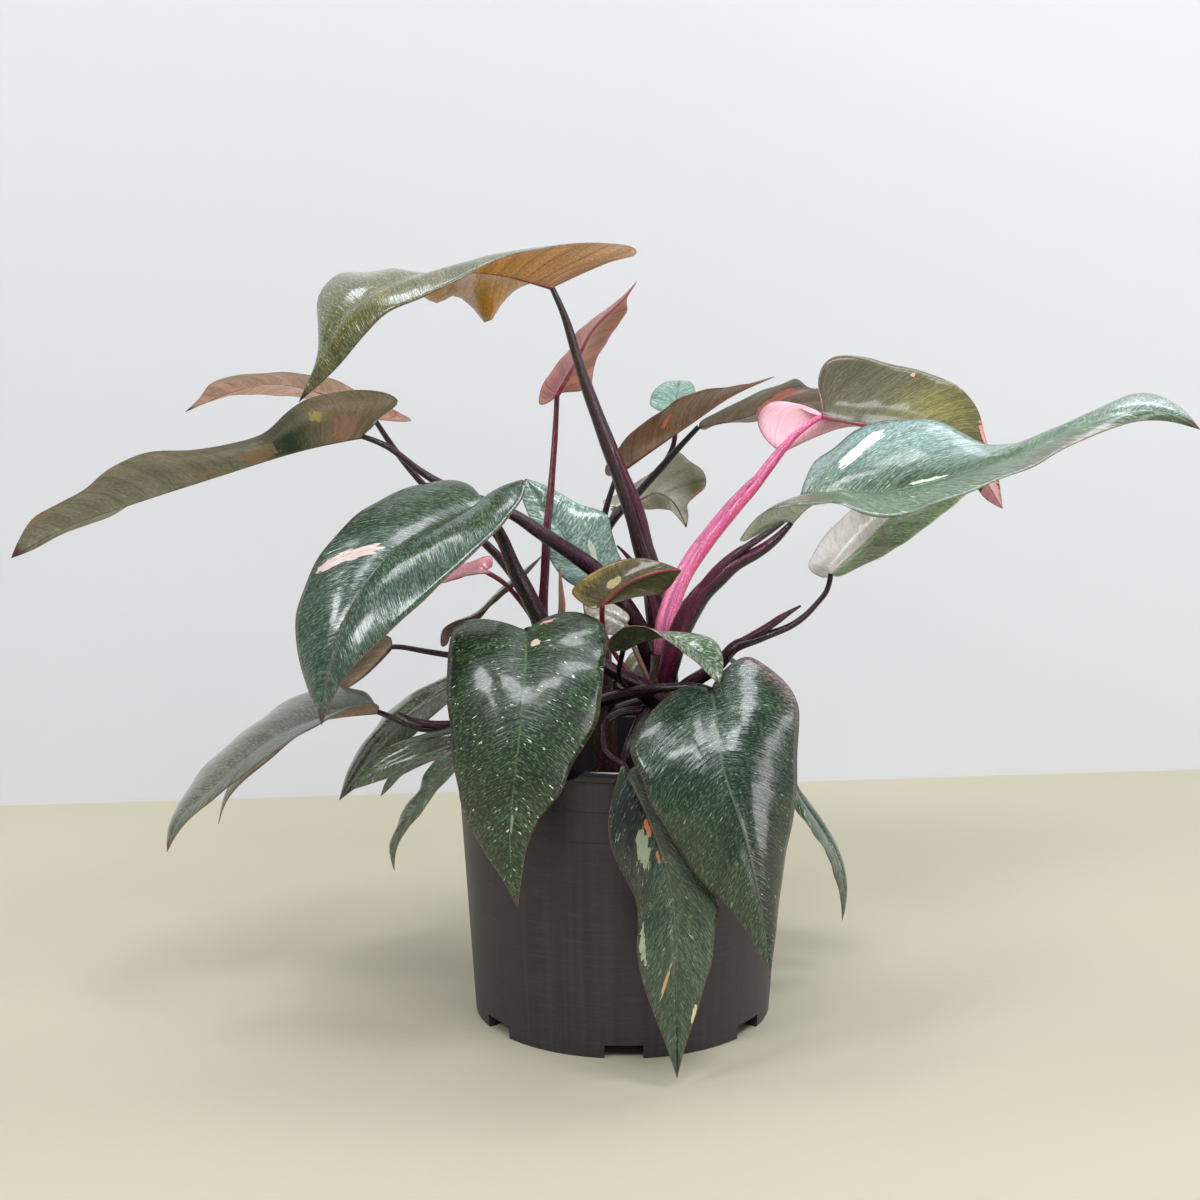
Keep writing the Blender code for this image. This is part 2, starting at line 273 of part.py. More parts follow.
# Stalks: points as above from the leaf's joint to the stem, then radii spread evenly along
STALKS = {
    "stem_right": {
        "trunk": ([(16, -8, 75), (16, -8, 100), (16.5, -9, 130), (19, -10, 166),
                   (19, -10, 178)], [8.2, 8.4, 8.5, 7.8, 6.4]),
        "top": ([(-33, 349, 10), (-27, 335, 6), (-21, 315, 2), (-16, 300, 0), (-9, 281, -3),
                 (-2, 262, -5), (4, 245, -6), (9, 228, -6), (13, 215, -6), (16, 195, -6),
                 (17, 176, -3), (18, 155, 4)], [END_RADIUS, 2, 2.6, 3.4, 3.9, 4.2, 5, 5.4, 5.6, 5]),
        "top_sheath": ([(-10.5, 292, -1), (-7, 281, -2), (0, 263, -4), (7, 245, -5),
                        (13, 222, -5)], [0.5, 1.6, 2.4, 2.8, 2.4]),
        "crown_sheath": ([(-3, 228, 1), (1, 224, 1), (7, 216, 0), (13, 203, -1),
                          (16, 190, -1)], [0.5, 1.4, 2, 2.4, 2.4]),
        "far_left": ([(-122, 280, 20), (-110, 275, 19), (-95, 263.5, 18), (-86, 258, 17),
                      (-52, 243, 12), (-40, 235, 10), (-25, 225, 8), (-12, 215, 6),
                      (0, 200, 2), (8, 187, 0), (14, 172, 0), (18, 155, 4)],
                     [END_RADIUS, 1.6, 2, 2.6, 3.4, 4, 4.4, 4.6, 4.6]),
        "far_right": ([(79, 239, 25), (71, 230.5, 24), (63.5, 225, 23), (52, 219, 22),
                       (44.5, 212, 21), (37, 204.5, 20), (31, 195, 20), (26, 184, 20),
                       (22, 170, 17), (19, 152, 9)],
                      [END_RADIUS, 2.4, 3.4, 4.2, 4.8, 5.2, 5, 4.6, 4.6]),
        "far_right_sheath": ([(65, 231, 24), (58, 227.5, 24), (50, 221.5, 23), (42, 213, 22),
                              (33, 200, 20)], [0.6, 2, 2.6, 2.8, 2.4]),
        "half_cream": ([(98, 214.5, 15), (96, 206, 16), (91.5, 200, 17), (86, 194, 18),
                        (79, 189, 19), (65, 183.5, 20), (53, 179, 20), (46, 171, 18),
                        (38, 165, 14), (30, 160, 11), (20, 150, 8)],
                       [END_RADIUS, 1.3, 1.7, 2.6, 3.2, 3.4, 3.6]),
        "half_cream_sheath": ([(84, 199, 20), (76, 194, 21), (66, 187, 21), (55, 181, 20)],
                              [0.5, 1.8, 2, 1.8]),
        "front": ([(-46, 187, 55), (-42, 187, 47), (-25, 180, 38), (-9, 170, 31),
                   (2, 163, 26), (12, 158, 20), (17, 148, 11)], [END_RADIUS, 2.6, 3.3, 3.8, 4.4]),
        "hanging": ([(2, 117, 86), (0, 121, 83), (-5, 124, 78), (-8.5, 128, 69),
                     (-9.5, 135, 56), (-8, 142, 42), (0, 147, 28), (12, 148, 15)],
                    [END_RADIUS, 1.4, 1.9, 2.2]),
        "inner_stalk": ([(13, 150, 14), (9, 145, 22), (5, 136, 30), (1, 124, 36),
                         (-1, 110, 38), (-2, 84, 38)], [2.2, 2.3, 2.3, 2, 1.8]),
        "olive_small": ([(-10, 199, 45), (-10, 193, 40), (-9, 186, 30), (-6, 179, 20),
                         (0, 170, 13), (8, 160, 10), (15, 148, 8)], [END_RADIUS, 1.2, 1.6]),
        "twisted_small": ([(0, 177.5, 55), (-1, 173, 50), (-2, 167, 42), (-1, 162, 34),
                           (4, 158, 24), (13, 150, 12)], [END_RADIUS, 1.2, 1.6]),
        "pale_pink": ([(1, 190, 20), (3, 184, 17), (8, 172, 14), (15, 156, 9)],
                      [END_RADIUS, 1.1, 1.4]),
        "low_right": ([(82, 113, -28), (82, 118, -27), (82, 130, -26), (82, 141, -26),
                       (78, 151, -25), (66, 156, -20), (45, 158, -10), (20, 150, 4)],
                      [END_RADIUS, 1.3, 1.5, 1.8, 2]),
    },
    "petiole_pink": {
        "pink": ([(92, 289, -10), (88, 287, -9.5), (81, 281.5, -8), (75, 275, -6.5),
                  (68, 266, -5), (61, 256.5, -4), (53, 247.5, -3.5), (46, 239, -3),
                  (38, 229, -2), (31.5, 219.5, 0), (26, 209, 3), (21.5, 197, 7),
                  (19, 187, 10), (19, 176.3, 10)],
                 [END_RADIUS, 1.9, 2.6, 3.2, 3.8, 4.2, 4.5, 4.5, 4.2]),
        "pink_sheath": ([(68.5, 264, -4), (62, 260.5, -3.5), (55, 253, -3), (46, 242, -2.5),
                         (36, 229, -1)], [0.5, 1.6, 2.2, 2.6, 2.4]),
    },
    "stem_left": {
        "trunk": ([(-33, -4, 75), (-33, -4, 100), (-34, -5, 140), (-37, -6, 172),
                   (-37, -6, 186)], [7.2, 7.4, 7.4, 6.6, 5]),
        "front_left": ([(-65, 248, 40), (-62, 243, 33), (-57, 232, 23), (-51, 216, 15),
                        (-44, 202, 10), (-38, 188, 6), (-35, 170, 5)],
                       [END_RADIUS, 2.6, 3.8, 4.5, 4.8]),
        "upright": ([(-31, 299, -28), (-32, 280, -22), (-34, 255, -13), (-36, 235, -7),
                     (-37, 215, -5), (-38, 196, -3), (-37, 178, 2)],
                    [END_RADIUS, 1.5, 1.9, 2.2, 2.6]),
        "brown_left": ([(-116, 288, -25), (-108, 275.5, -25), (-100, 264.5, -25),
                        (-88, 251, -27), (-66, 230, -31), (-57, 220.5, -32), (-50, 211, -29),
                        (-43, 198, -17), (-38, 180, -3)], [END_RADIUS, 1.6, 2, 2.6, 3]),
        "pink_small": ([(-66, 216, 10), (-57, 210.5, 9), (-50, 203, 8), (-43, 193, 7),
                        (-38, 182, 6)], [END_RADIUS, 1, 1.4, 1.6]),
        "front_right": ([(42, 158, 62), (36, 159.5, 57), (20, 159, 50), (5, 156.5, 42),
                         (-8, 153, 34), (-20, 147, 24), (-31, 140, 11)],
                        [END_RADIUS, 2.4, 3.2, 3.6]),
        "low_left": ([(-117, 147, 28), (-111, 144.5, 28.5), (-105, 141.5, 29),
                      (-98.5, 139, 30), (-90, 138.5, 30), (-80, 139.5, 30), (-65, 142.5, 24),
                      (-48, 146, 13), (-36, 146, 5)], [END_RADIUS, 1.6, 2.4, 3, 3.2]),
        "low_left_sheath": ([(-107, 146.5, 30), (-100, 143, 31), (-90, 141, 31),
                             (-78, 141.5, 30)], [0.5, 1.4, 1.8, 1.6]),
        "low_left_behind": ([(-110, 179, -8), (-105, 178.8, -8), (-95, 177, -7),
                             (-83, 175, -6), (-65, 172, -3), (-50, 165, 0), (-37, 155, 4)],
                            [END_RADIUS, 1.5, 2.2, 2.8]),
        "low_a": ([(-72, 165, 8), (-62, 166, 8), (-50, 163, 7), (-38, 154, 5)],
                  [END_RADIUS, 1.5, 2.2]),
        "low_b": ([(-70, 138, 42), (-64, 142, 40), (-52, 145, 28), (-38, 144, 8)],
                  [END_RADIUS, 1.4, 2]),
        "low_c": ([(-77, 130, 60), (-72, 134.5, 58), (-60, 141, 50), (-48, 144, 33),
                   (-37, 143, 9)], [END_RADIUS, 1.3, 1.8]),
        "low_d": ([(-76, 126, 72), (-72, 132, 69), (-62, 139.5, 62), (-50, 142, 42),
                   (-37, 141, 11)], [END_RADIUS, 1.4, 1.9]),
        "edge_on": ([(-82, 186, -7), (-77, 181, -7), (-65, 178, -5), (-50, 174, -1),
                     (-37, 165, 4)], [END_RADIUS, 1.2, 1.6]),
        "cataphyll": ([(-30, 218, 16), (-29.5, 208, 16), (-29, 198, 14), (-31, 186, 9),
                       (-35, 174, 6)], [0.4, 1.6, 2, 2.4]),
    },
    "stem_back": {
        "trunk": ([(-8, 30, 75), (-8, 30, 100), (-8.5, 29, 135), (-9, 28, 160),
                   (-9, 28, 172)], [5.8, 6, 5.8, 4.8, 3.6]),
        "grey_right": ([(35, 284.5, -35), (28, 277, -35), (20, 268, -35), (12, 259, -34),
                        (4, 250, -33), (-2, 244, -32), (-7, 237, -32), (-14, 222, -32),
                        (-17, 205, -31), (-14, 185, -29), (-10, 160, -29)],
                       [END_RADIUS, 1.8, 2.2, 2.4, 2.6, 2.8]),
        "brown_right": ([(-3, 262, -15), (-6, 253, -18), (-9, 242, -21), (-12, 225, -24),
                         (-14, 205, -26), (-12, 185, -27), (-9, 160, -28)],
                        [END_RADIUS, 1.7, 2.1, 2.5]),
        "teal_small": ([(23, 290, -40), (24, 284, -43), (23, 275, -44), (18, 266, -44),
                        (10, 257, -43), (2, 248, -41), (-6, 238, -39), (-13, 222, -36),
                        (-16, 203, -33), (-12, 180, -30), (-9, 160, -29)],
                       [END_RADIUS, 1.1, 1.3, 1.6]),
        "grey_back": ([(-3, 246, -62), (-7, 238, -58), (-11, 225, -52), (-14, 205, -44),
                       (-12, 185, -36), (-9, 162, -30)], [END_RADIUS, 1.4, 1.8]),
        "teal_back": ([(-15, 212, -15), (-14, 206, -18), (-12, 194, -22), (-9, 168, -27)],
                      [END_RADIUS, 1.4, 1.8]),
        "pale_back": ([(0, 158, -16), (-3, 153, -20), (-8, 146, -27)], [END_RADIUS, 1, 1.2]),
        "back_left_low": ([(-30, 180, -76), (-26, 182, -69), (-20, 177, -52),
                           (-13, 165, -37), (-9, 150, -30)], [END_RADIUS, 1.6, 2.2]),
        "back_right_low": ([(50, 152, -86), (52, 160, -86), (54, 169, -80), (50, 173, -70),
                            (43, 168, -58), (35, 163, -46), (18, 156, -36), (-4, 148, -31)],
                           [END_RADIUS, 1.6, 2, 2.2]),
        "back_left_high": ([(-88, 232, -50), (-86, 234, -46), (-75, 239, -43), (-62, 235, -43),
                            (-52, 215, -41), (-42, 197, -39), (-24, 176, -34),
                            (-11, 160, -30)], [END_RADIUS, 1.5, 1.9, 2.2]),
        "back_right_high": ([(105, 268, -62), (98, 264, -56), (75, 240, -49), (50, 221, -43),
                             (22, 192, -37), (4, 172, -32), (-6, 155, -30)],
                            [END_RADIUS, 1.7, 2, 2.4]),
    },
}
JOINTED = set(LEAVES) | {"pink"}


def sighted(across, up, nearer):
    seen = np.array([across, 0.0, up])
    return seen + (EYE - seen) * (nearer / -EYE[1])


def unit(v):
    return v / np.maximum(np.linalg.norm(v, axis=-1, keepdims=True), 1e-12)


def smooth(points, count):
    """count + 1 points, evenly spaced along a smooth curve through the points"""
    p = np.asarray(points, float)
    step = np.sqrt(np.linalg.norm(np.diff(p, axis=0), axis=1))
    d = np.diff(p, axis=0) / step[:, None]
    slope = np.empty_like(p)
    if len(p) > 2:
        before, after = step[:-1, None], step[1:, None]
        slope[1:-1] = (d[:-1] * after + d[1:] * before) / (before + after)
        slope[0] = 1.5 * d[0] - 0.5 * slope[1]
        slope[-1] = 1.5 * d[-1] - 0.5 * slope[-2]
    else:
        slope[:] = d[0]
    fine = []
    t = np.linspace(0, 1, 24, endpoint=False)[:, None]
    for i in range(len(p) - 1):
        fine.append((2 * t**3 - 3 * t**2 + 1) * p[i] + (3 * t**2 - 2 * t**3) * p[i + 1]
                    + (t**3 - 2 * t**2 + t) * step[i] * slope[i]
                    + (t**3 - t**2) * step[i] * slope[i + 1])
    fine = np.concatenate(fine + [p[-1:]])
    run = np.concatenate([[0], np.cumsum(np.linalg.norm(np.diff(fine, axis=0), axis=1))])
    want = np.linspace(0, run[-1], count + 1)
    return np.stack([np.interp(want, run, fine[:, k]) for k in range(3)], 1)


def blade_sheet(data, rows, cols):
    """Middle surface: rows from joint to tip, columns from the minus to the plus margin"""
    fine = 240
    v = np.linspace(0, 1, rows + 1)
    u = np.linspace(0, 1, cols + 1)[None, :, None]
    joint = sighted(*data["rib"][0])
    tip = sighted(*data["rib"][-1])
    rib = smooth([sighted(*p) for p in data["rib"]], fine)[np.round(v**1.5 * fine).astype(int)]
    tangent = unit(np.gradient(rib, axis=0))
    halves = []
    for side, key in ((1, "plus"), (-1, "minus")):
        margin = smooth([joint] + [sighted(*p) for p in data[key]] + [tip], fine)
        margin = margin[np.round(v**0.95 * fine).astype(int)]
        across = margin - rib
        normal = unit(np.cross(across, tangent)) * side
        wide = np.linalg.norm(across, axis=1)[:, None, None]
        swell = normal[:, None, :] * wide * data["bow"] * 4 * u * (1 - u) * (1 - 0.4 * u)
        halves.append(rib[:, None, :] + across[:, None, :] * u + swell)
    return np.concatenate([halves[1][:, :0:-1], halves[0]], axis=1)


def sheet_faces(rows, width):
    """Vertex numbers: 0 the joint, then the inner rows, then the tip; the joint and the tip
    are single points, so the first and the last row of faces are fans"""
    def number(i, k):
        if i == 0:
            return 0
        if i == rows:
            return 1 + (rows - 1) * width
        return 1 + (i - 1) * width + k

    faces = []
    for i in range(rows):
        for k in range(width - 1):
            a, b = number(i, k), number(i, k + 1)
            c, d = number(i + 1, k + 1), number(i + 1, k)
            if a == b:
                faces.append((a, c, d))
            elif c == d:
                faces.append((a, b, c))
            elif (k < width // 2) == (i % 2 == 0):
                faces += [(a, b, c), (a, c, d)]
            else:
                faces += [(a, b, d), (b, c, d)]
    return faces


def point_normals(points, faces):
    """Direction and length of the offset at each point that keeps both sides parallel"""
    f = np.array(faces)
    flat = unit(np.cross(points[f[:, 1]] - points[f[:, 0]], points[f[:, 2]] - points[f[:, 0]]))
    total = np.zeros_like(points)
    for corner in range(3):
        np.add.at(total, f[:, corner], flat)
    mean = unit(total)
    lean = np.ones(len(points))
    for corner in range(3):
        np.minimum.at(lean, f[:, corner], np.sum(mean[f[:, corner]] * flat, axis=1))
    return mean / np.maximum(lean, 1 / MOST_MITRE)[:, None]


def blade_mesh(data):
    rows, cols = data["rows"], data["cols"]
    sheet = blade_sheet(data, rows, cols)
    width = sheet.shape[1]
    points = np.concatenate([sheet[0, :1], sheet[1:-1].reshape(-1, 3), sheet[-1, :1]])
    faces = sheet_faces(rows, width)
    offset = point_normals(points, faces) * HALF_THICK
    count = len(points)
    body = np.concatenate([points + offset, points - offset])
    all_faces = list(faces) + [(c + count, b + count, a + count) for a, b, c in faces]
    edges = {(f[i], f[(i + 1) % 3]) for f in faces for i in range(3)}
    for a, b in sorted(edges):
        if (b, a) not in edges:
            all_faces += [(b, a, a + count), (b, a + count, b + count)]
    return body, all_faces


def tube_mesh(points, radii, sides, ring_every=9.6):
    """A round tapering bar along a smooth path, closed by flat ends"""
    length = np.linalg.norm(np.diff(np.asarray(points, float), axis=0), axis=1).sum()
    rings = max(3, int(round(length / ring_every)))
    path = smooth(points, rings)
    tangent = unit(np.gradient(path, axis=0))
    tangent[0] = unit(path[1] - path[0])
    tangent[-1] = unit(path[-1] - path[-2])
    radius = np.interp(np.linspace(0, 1, rings + 1), np.linspace(0, 1, len(radii)), radii)
    side = unit(np.cross(tangent[0], [0.0, 0.3, 1.0] if abs(tangent[0][2]) < 0.9
                         else [0.0, 1.0, 0.0]))
    vertices = []
    angles = np.arange(sides) * 2 * math.pi / sides
    for i in range(rings + 1):
        side = unit(side - np.dot(side, tangent[i]) * tangent[i])
        other = np.cross(tangent[i], side)
        for angle in angles:
            vertices.append(path[i] + radius[i] * (math.cos(angle) * side
                                                   + math.sin(angle) * other))
    faces = []
    for i in range(rings):
        for k in range(sides):
            a, b = i * sides + k, i * sides + (k + 1) % sides
            faces.append((a, b, b + sides, a + sides))
    faces.append(tuple(range(sides))[::-1])
    last = rings * sides
    faces.append(tuple(last + k for k in range(sides)))
    return np.array(vertices), faces


def lathe_mesh(profile, sides):
    """profile: (radius, z) points, counterclockwise in the half plane, ends on the axis"""
    vertices = []
    rows = []
    for radius, z in profile:
        if radius == 0:
            rows.append([len(vertices)])
            vertices.append((0.0, 0.0, z))
            continue
        rows.append(list(range(len(vertices), len(vertices) + sides)))
        for k in range(sides):
            angle = 2 * math.pi * (k + 0.5) / sides
            vertices.append((radius * math.cos(angle), radius * math.sin(angle), z))
    faces = []
    for low, high in zip(rows, rows[1:]):
        for k in range(sides):
            a, b = low[k % len(low)], low[(k + 1) % len(low)]
            d, c = high[k % len(high)], high[(k + 1) % len(high)]
            if a == b:
                faces.append((a, c, d))
            elif c == d:
                faces.append((a, b, c))
            else:
                faces.append((a, b, c, d))
    return np.array(vertices), faces


def material(name, colour, roughness, coat=0.0):
    made = bpy.data.materials.new(name)
    made.use_nodes = True
    shader = made.node_tree.nodes["Principled BSDF"]
    shader.inputs["Base Color"].default_value = (*colour, 1)
    shader.inputs["Roughness"].default_value = roughness
    shader.inputs["Coat Weight"].default_value = coat
    made.diffuse_color = (*colour, 1)
    return made


def solid(name, vertices, faces, look=None, helper=False):
    mesh = bpy.data.meshes.new(name)
    mesh.from_pydata([tuple(v) for v in np.asarray(vertices) * MM], [], faces)
    mesh.validate()
    obj = bpy.data.objects.new(name, mesh)
    bpy.context.scene.collection.objects.link(obj)
    if look:
        mesh.materials.append(look)
    if helper:
        obj.hide_render = True
        obj.display_type = "WIRE"
    return obj


def boolean(target, other, operation):
    change = target.modifiers.new(other.name, "BOOLEAN")
    change.operation = operation
    change.solver = "EXACT"
    change.object = other


def outer_radius(z):
    return POT_RADIUS_AT_FOOT + POT_FLARE * z


def make_pot(look):
    wall = POT_WALL
    ring = RING_STEP
    profile = [
        (0, FLOOR_LOW), (outer_radius(FLOOR_LOW) - wall - 2.0, FLOOR_LOW),
        (outer_radius(0) - wall - 2.0, 0), (outer_radius(0), 0),
        (outer_radius(RING_LOW), RING_LOW), (outer_radius(RING_LOW) + ring, RING_LOW + 0.6),
        (outer_radius(RING_HIGH) + ring, RING_HIGH),
        (outer_radius(RING_HIGH) + 2 * ring, RING_HIGH + 0.6),
        (outer_radius(RIM_LOW) + 2 * ring, RIM_LOW), (RIM_RADIUS - 0.4, RIM_LOW + 0.4),
        (RIM_RADIUS, RIM_LOW + 1.0), (RIM_RADIUS, POT_TOP - 0.8), (RIM_RADIUS - 0.8, POT_TOP),
        (RIM_RADIUS - 2.2, POT_TOP), (RIM_RADIUS - 2.6, POT_TOP - 1.0),
        (outer_radius(RIM_LOW) + 2 * ring - wall, RIM_LOW - 2),
        (outer_radius(RING_HIGH) + 2 * ring - wall, RING_HIGH + 2),
        (outer_radius(FLOOR_TOP) - wall, FLOOR_TOP), (0, FLOOR_TOP),
    ]
    pot = solid("pot", *lathe_mesh(profile, POT_SIDES), look)
    for n, degrees in enumerate(NOTCH_ANGLES):
        cutter = box_cutter(f"notch_{n}", degrees)
        boolean(pot, cutter, "DIFFERENCE")
    for n in range(6):
        angle = math.radians(60 * n + 30)
        vertices, faces = tube_mesh(
            [(DRAIN_AT * math.cos(angle), DRAIN_AT * math.sin(angle), FLOOR_LOW - 3),
             (DRAIN_AT * math.cos(angle), DRAIN_AT * math.sin(angle), FLOOR_TOP + 3)],
            [DRAIN_RADIUS, DRAIN_RADIUS], 10)
        boolean(pot, solid(f"drain_{n}", vertices, faces, helper=True), "DIFFERENCE")
    return pot


def box_cutter(name, degrees):
    """A block through the foot ring, its inner end short of the middle of the pot"""
    angle = math.radians(degrees)
    out = np.array([math.cos(angle), math.sin(angle), 0.0])
    along = np.array([-math.sin(angle), math.cos(angle), 0.0])
    corners = []
    for z in (-2.0, FOOT_HIGH - 0.4):
        for radius, turn in ((60, -1), (80, -1), (80, 1), (60, 1)):
            corners.append(out * radius + along * turn * NOTCH_WIDE / 2 + [0, 0, z])
    faces = [(3, 2, 1, 0), (4, 5, 6, 7), (0, 1, 5, 4), (1, 2, 6, 5), (2, 3, 7, 6), (3, 0, 4, 7)]
    return solid(name, corners, faces, helper=True)


def make_soil(look):
    """Filling of the pot, its top slightly heaped, with a plain hole for each stem"""
    inner_low = outer_radius(FLOOR_TOP) - POT_WALL
    inner_high = outer_radius(RING_HIGH) + 2 * RING_STEP - POT_WALL
    slope = (inner_high - inner_low) / (RING_HIGH + 2 - FLOOR_TOP)
    low = FLOOR_TOP + CLEAR
    edge = inner_low + slope * (SOIL_TOP - 2 - FLOOR_TOP) - CLEAR
    profile = [(0, low), (inner_low - CLEAR - 0.1, low), (edge, SOIL_TOP - 2),
               (edge * 0.82, SOIL_TOP + 0.4), (edge * 0.62, SOIL_TOP - 0.6),
               (edge * 0.4, SOIL_TOP + 0.6), (edge * 0.2, SOIL_TOP - 0.2), (0, SOIL_TOP)]
    vertices, faces = lathe_mesh(profile, SOIL_SIDES)
    for n, point in enumerate(vertices):
        reach = math.hypot(point[0], point[1])
        if point[2] > SOIL_TOP - 1.5 and 1 < reach < edge - 1:
            point[2] += 1.1 * math.sin(point[0] * 0.21 + 1.0) * math.cos(point[1] * 0.17)
            point[2] += 0.7 * math.sin(n * 2.4)
    soil = solid("soil", vertices, faces, look)
    for name, parts in STALKS.items():
        if "trunk" not in parts:
            continue
        path, radii = parts["trunk"]
        x, y = path[0][:2]
        hole, sides = tube_mesh([(x, y, HOLE_LOW), (x, y, SOIL_TOP + 9)],
                                [radii[0] + CLEAR + 0.1] * 2, 10)
        boolean(soil, solid(f"hole_{name}", hole, sides, helper=True), "DIFFERENCE")
    return soil


def stalk_points(name, path):
    if name == "trunk":
        return [np.array(p, float) for p in path]
    points = [sighted(*p) for p in path]
    if name in JOINTED:
        away = points[1] - points[0]
        points[0] = points[0] + unit(away) * JOINT_GAP
    return points


def make_stalks(looks):
    for stem, parts in STALKS.items():
        whole = None
        for name, (path, radii) in parts.items():
            sides = 10 if name == "trunk" else 8 if max(radii) > 3 else 6
            vertices, faces = tube_mesh(stalk_points(name, path), radii, sides)
            if whole is None:
                whole = solid(stem, vertices, faces, looks[stem])
            else:
                boolean(whole, solid(f"{stem}_{name}", vertices, faces, helper=True), "UNION")


def main():
    for obj in list(bpy.data.objects):
        bpy.data.objects.remove(obj)
    green = material("leaf_green", (0.03, 0.09, 0.05), 0.35, 0.3)
    brown = material("leaf_underside", (0.16, 0.09, 0.07), 0.45, 0.2)
    cream = material("leaf_cream", (0.70, 0.68, 0.52), 0.4, 0.2)
    pale = material("leaf_pink", (0.85, 0.35, 0.42), 0.4, 0.2)
    purple = material("stalk_purple", (0.09, 0.04, 0.06), 0.4, 0.2)
    pink = material("stalk_pink", (0.72, 0.22, 0.34), 0.4, 0.2)
    brown_leaves = ("top", "upright", "brown_left", "brown_right", "grey_right", "olive_small",
                    "grey_back", "half_pink")
    for name, data in LEAVES.items():
        look = brown if name in brown_leaves else green
        look = {"half_cream": cream, "pink_small": pale, "pale_pink": pale}.get(name, look)
        solid(f"leaf_{name}", *blade_mesh(data), look)
    make_stalks({"stem_right": purple, "stem_left": purple, "stem_back": purple,
                 "petiole_pink": pink})
    make_pot(material("pot_plastic", (0.045, 0.04, 0.042), 0.4))
    make_soil(material("soil_bark", (0.06, 0.04, 0.03), 0.9))


main()
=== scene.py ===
"""Looks of a variegated philodendron with three leafy stems in a round nursery pot.

The tables of leaves and stalks are those of the solid model: millimetres, each point as it
is seen from the front (across, up, nearer), where nearer runs along the line of sight.
"""
import json
import math

import bpy
import mathutils
import numpy as np
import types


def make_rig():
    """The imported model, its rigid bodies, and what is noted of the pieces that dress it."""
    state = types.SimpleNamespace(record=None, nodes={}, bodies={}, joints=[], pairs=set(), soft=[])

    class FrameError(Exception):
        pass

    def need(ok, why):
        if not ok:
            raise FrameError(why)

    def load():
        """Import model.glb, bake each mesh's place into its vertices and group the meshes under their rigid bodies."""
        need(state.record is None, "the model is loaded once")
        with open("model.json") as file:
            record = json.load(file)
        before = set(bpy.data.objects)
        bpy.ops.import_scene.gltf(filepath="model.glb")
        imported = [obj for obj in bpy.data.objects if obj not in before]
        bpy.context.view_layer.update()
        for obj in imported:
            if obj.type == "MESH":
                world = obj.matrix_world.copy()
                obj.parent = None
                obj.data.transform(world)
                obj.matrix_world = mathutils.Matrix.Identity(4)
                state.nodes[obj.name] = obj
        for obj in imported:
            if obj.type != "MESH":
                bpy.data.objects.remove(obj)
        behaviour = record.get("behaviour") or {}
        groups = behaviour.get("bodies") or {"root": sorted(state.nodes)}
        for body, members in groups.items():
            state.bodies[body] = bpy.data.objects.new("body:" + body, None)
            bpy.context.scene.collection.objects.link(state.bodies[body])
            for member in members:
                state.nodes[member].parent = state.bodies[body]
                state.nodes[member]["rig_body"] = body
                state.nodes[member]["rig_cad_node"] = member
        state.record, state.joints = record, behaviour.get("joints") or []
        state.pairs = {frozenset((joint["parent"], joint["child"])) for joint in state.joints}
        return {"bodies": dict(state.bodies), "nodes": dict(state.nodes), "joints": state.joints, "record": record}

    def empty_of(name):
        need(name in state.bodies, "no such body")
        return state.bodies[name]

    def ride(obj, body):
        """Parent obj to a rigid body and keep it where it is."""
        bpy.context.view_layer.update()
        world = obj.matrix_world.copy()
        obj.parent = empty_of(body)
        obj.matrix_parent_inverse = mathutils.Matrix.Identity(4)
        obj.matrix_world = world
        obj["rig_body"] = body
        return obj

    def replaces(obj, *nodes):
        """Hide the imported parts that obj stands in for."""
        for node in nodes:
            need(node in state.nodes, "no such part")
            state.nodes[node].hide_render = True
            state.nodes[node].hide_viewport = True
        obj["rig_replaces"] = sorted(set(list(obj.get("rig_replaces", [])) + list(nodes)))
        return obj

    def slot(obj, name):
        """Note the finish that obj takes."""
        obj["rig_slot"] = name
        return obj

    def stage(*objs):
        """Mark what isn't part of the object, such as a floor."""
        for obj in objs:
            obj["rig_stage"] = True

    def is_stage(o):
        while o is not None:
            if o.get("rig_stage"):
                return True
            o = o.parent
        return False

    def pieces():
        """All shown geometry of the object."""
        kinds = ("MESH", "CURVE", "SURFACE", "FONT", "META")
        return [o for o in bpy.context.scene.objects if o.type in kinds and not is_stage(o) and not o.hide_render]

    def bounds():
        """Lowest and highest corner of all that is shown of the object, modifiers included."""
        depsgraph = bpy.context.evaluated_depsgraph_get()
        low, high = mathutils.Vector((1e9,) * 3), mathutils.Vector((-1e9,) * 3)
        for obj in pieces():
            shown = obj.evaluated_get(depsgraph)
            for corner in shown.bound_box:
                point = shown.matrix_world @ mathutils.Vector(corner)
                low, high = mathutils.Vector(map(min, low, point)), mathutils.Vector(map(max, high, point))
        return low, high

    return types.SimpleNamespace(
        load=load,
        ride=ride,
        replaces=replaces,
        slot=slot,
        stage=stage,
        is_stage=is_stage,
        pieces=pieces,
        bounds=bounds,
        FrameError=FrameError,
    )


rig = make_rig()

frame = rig.load()
cad_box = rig.bounds()

MM = 0.001
EYE = np.array([-11.0, -1200.0, 470.0])

# Pot
POT_SIDES = 192
POT_WALL = 1.6
POT_RADIUS_AT_FOOT = 71.5
POT_FLARE = 0.062
POT_TOP = 141.0
RIM_RADIUS = 82.5
RIM_LOW = 135.5
RING_LOW = 106.0
RING_HIGH = 121.0
RING_STEP = 0.5
FOOT_HIGH = 7.0
FLOOR_LOW = 7.0
FLOOR_TOP = 9.0
NOTCH_ANGLES = (-90, -34, 10, 52, 90, 128, 170, -146)
NOTCH_WIDE = 18.0
NOTCH_FROM = 60
NOTCH_TO = 80
DRAIN_RADIUS = 5.0
DRAIN_AT = 46.0
DRAINS = 6
SOIL_TOP = 93.0

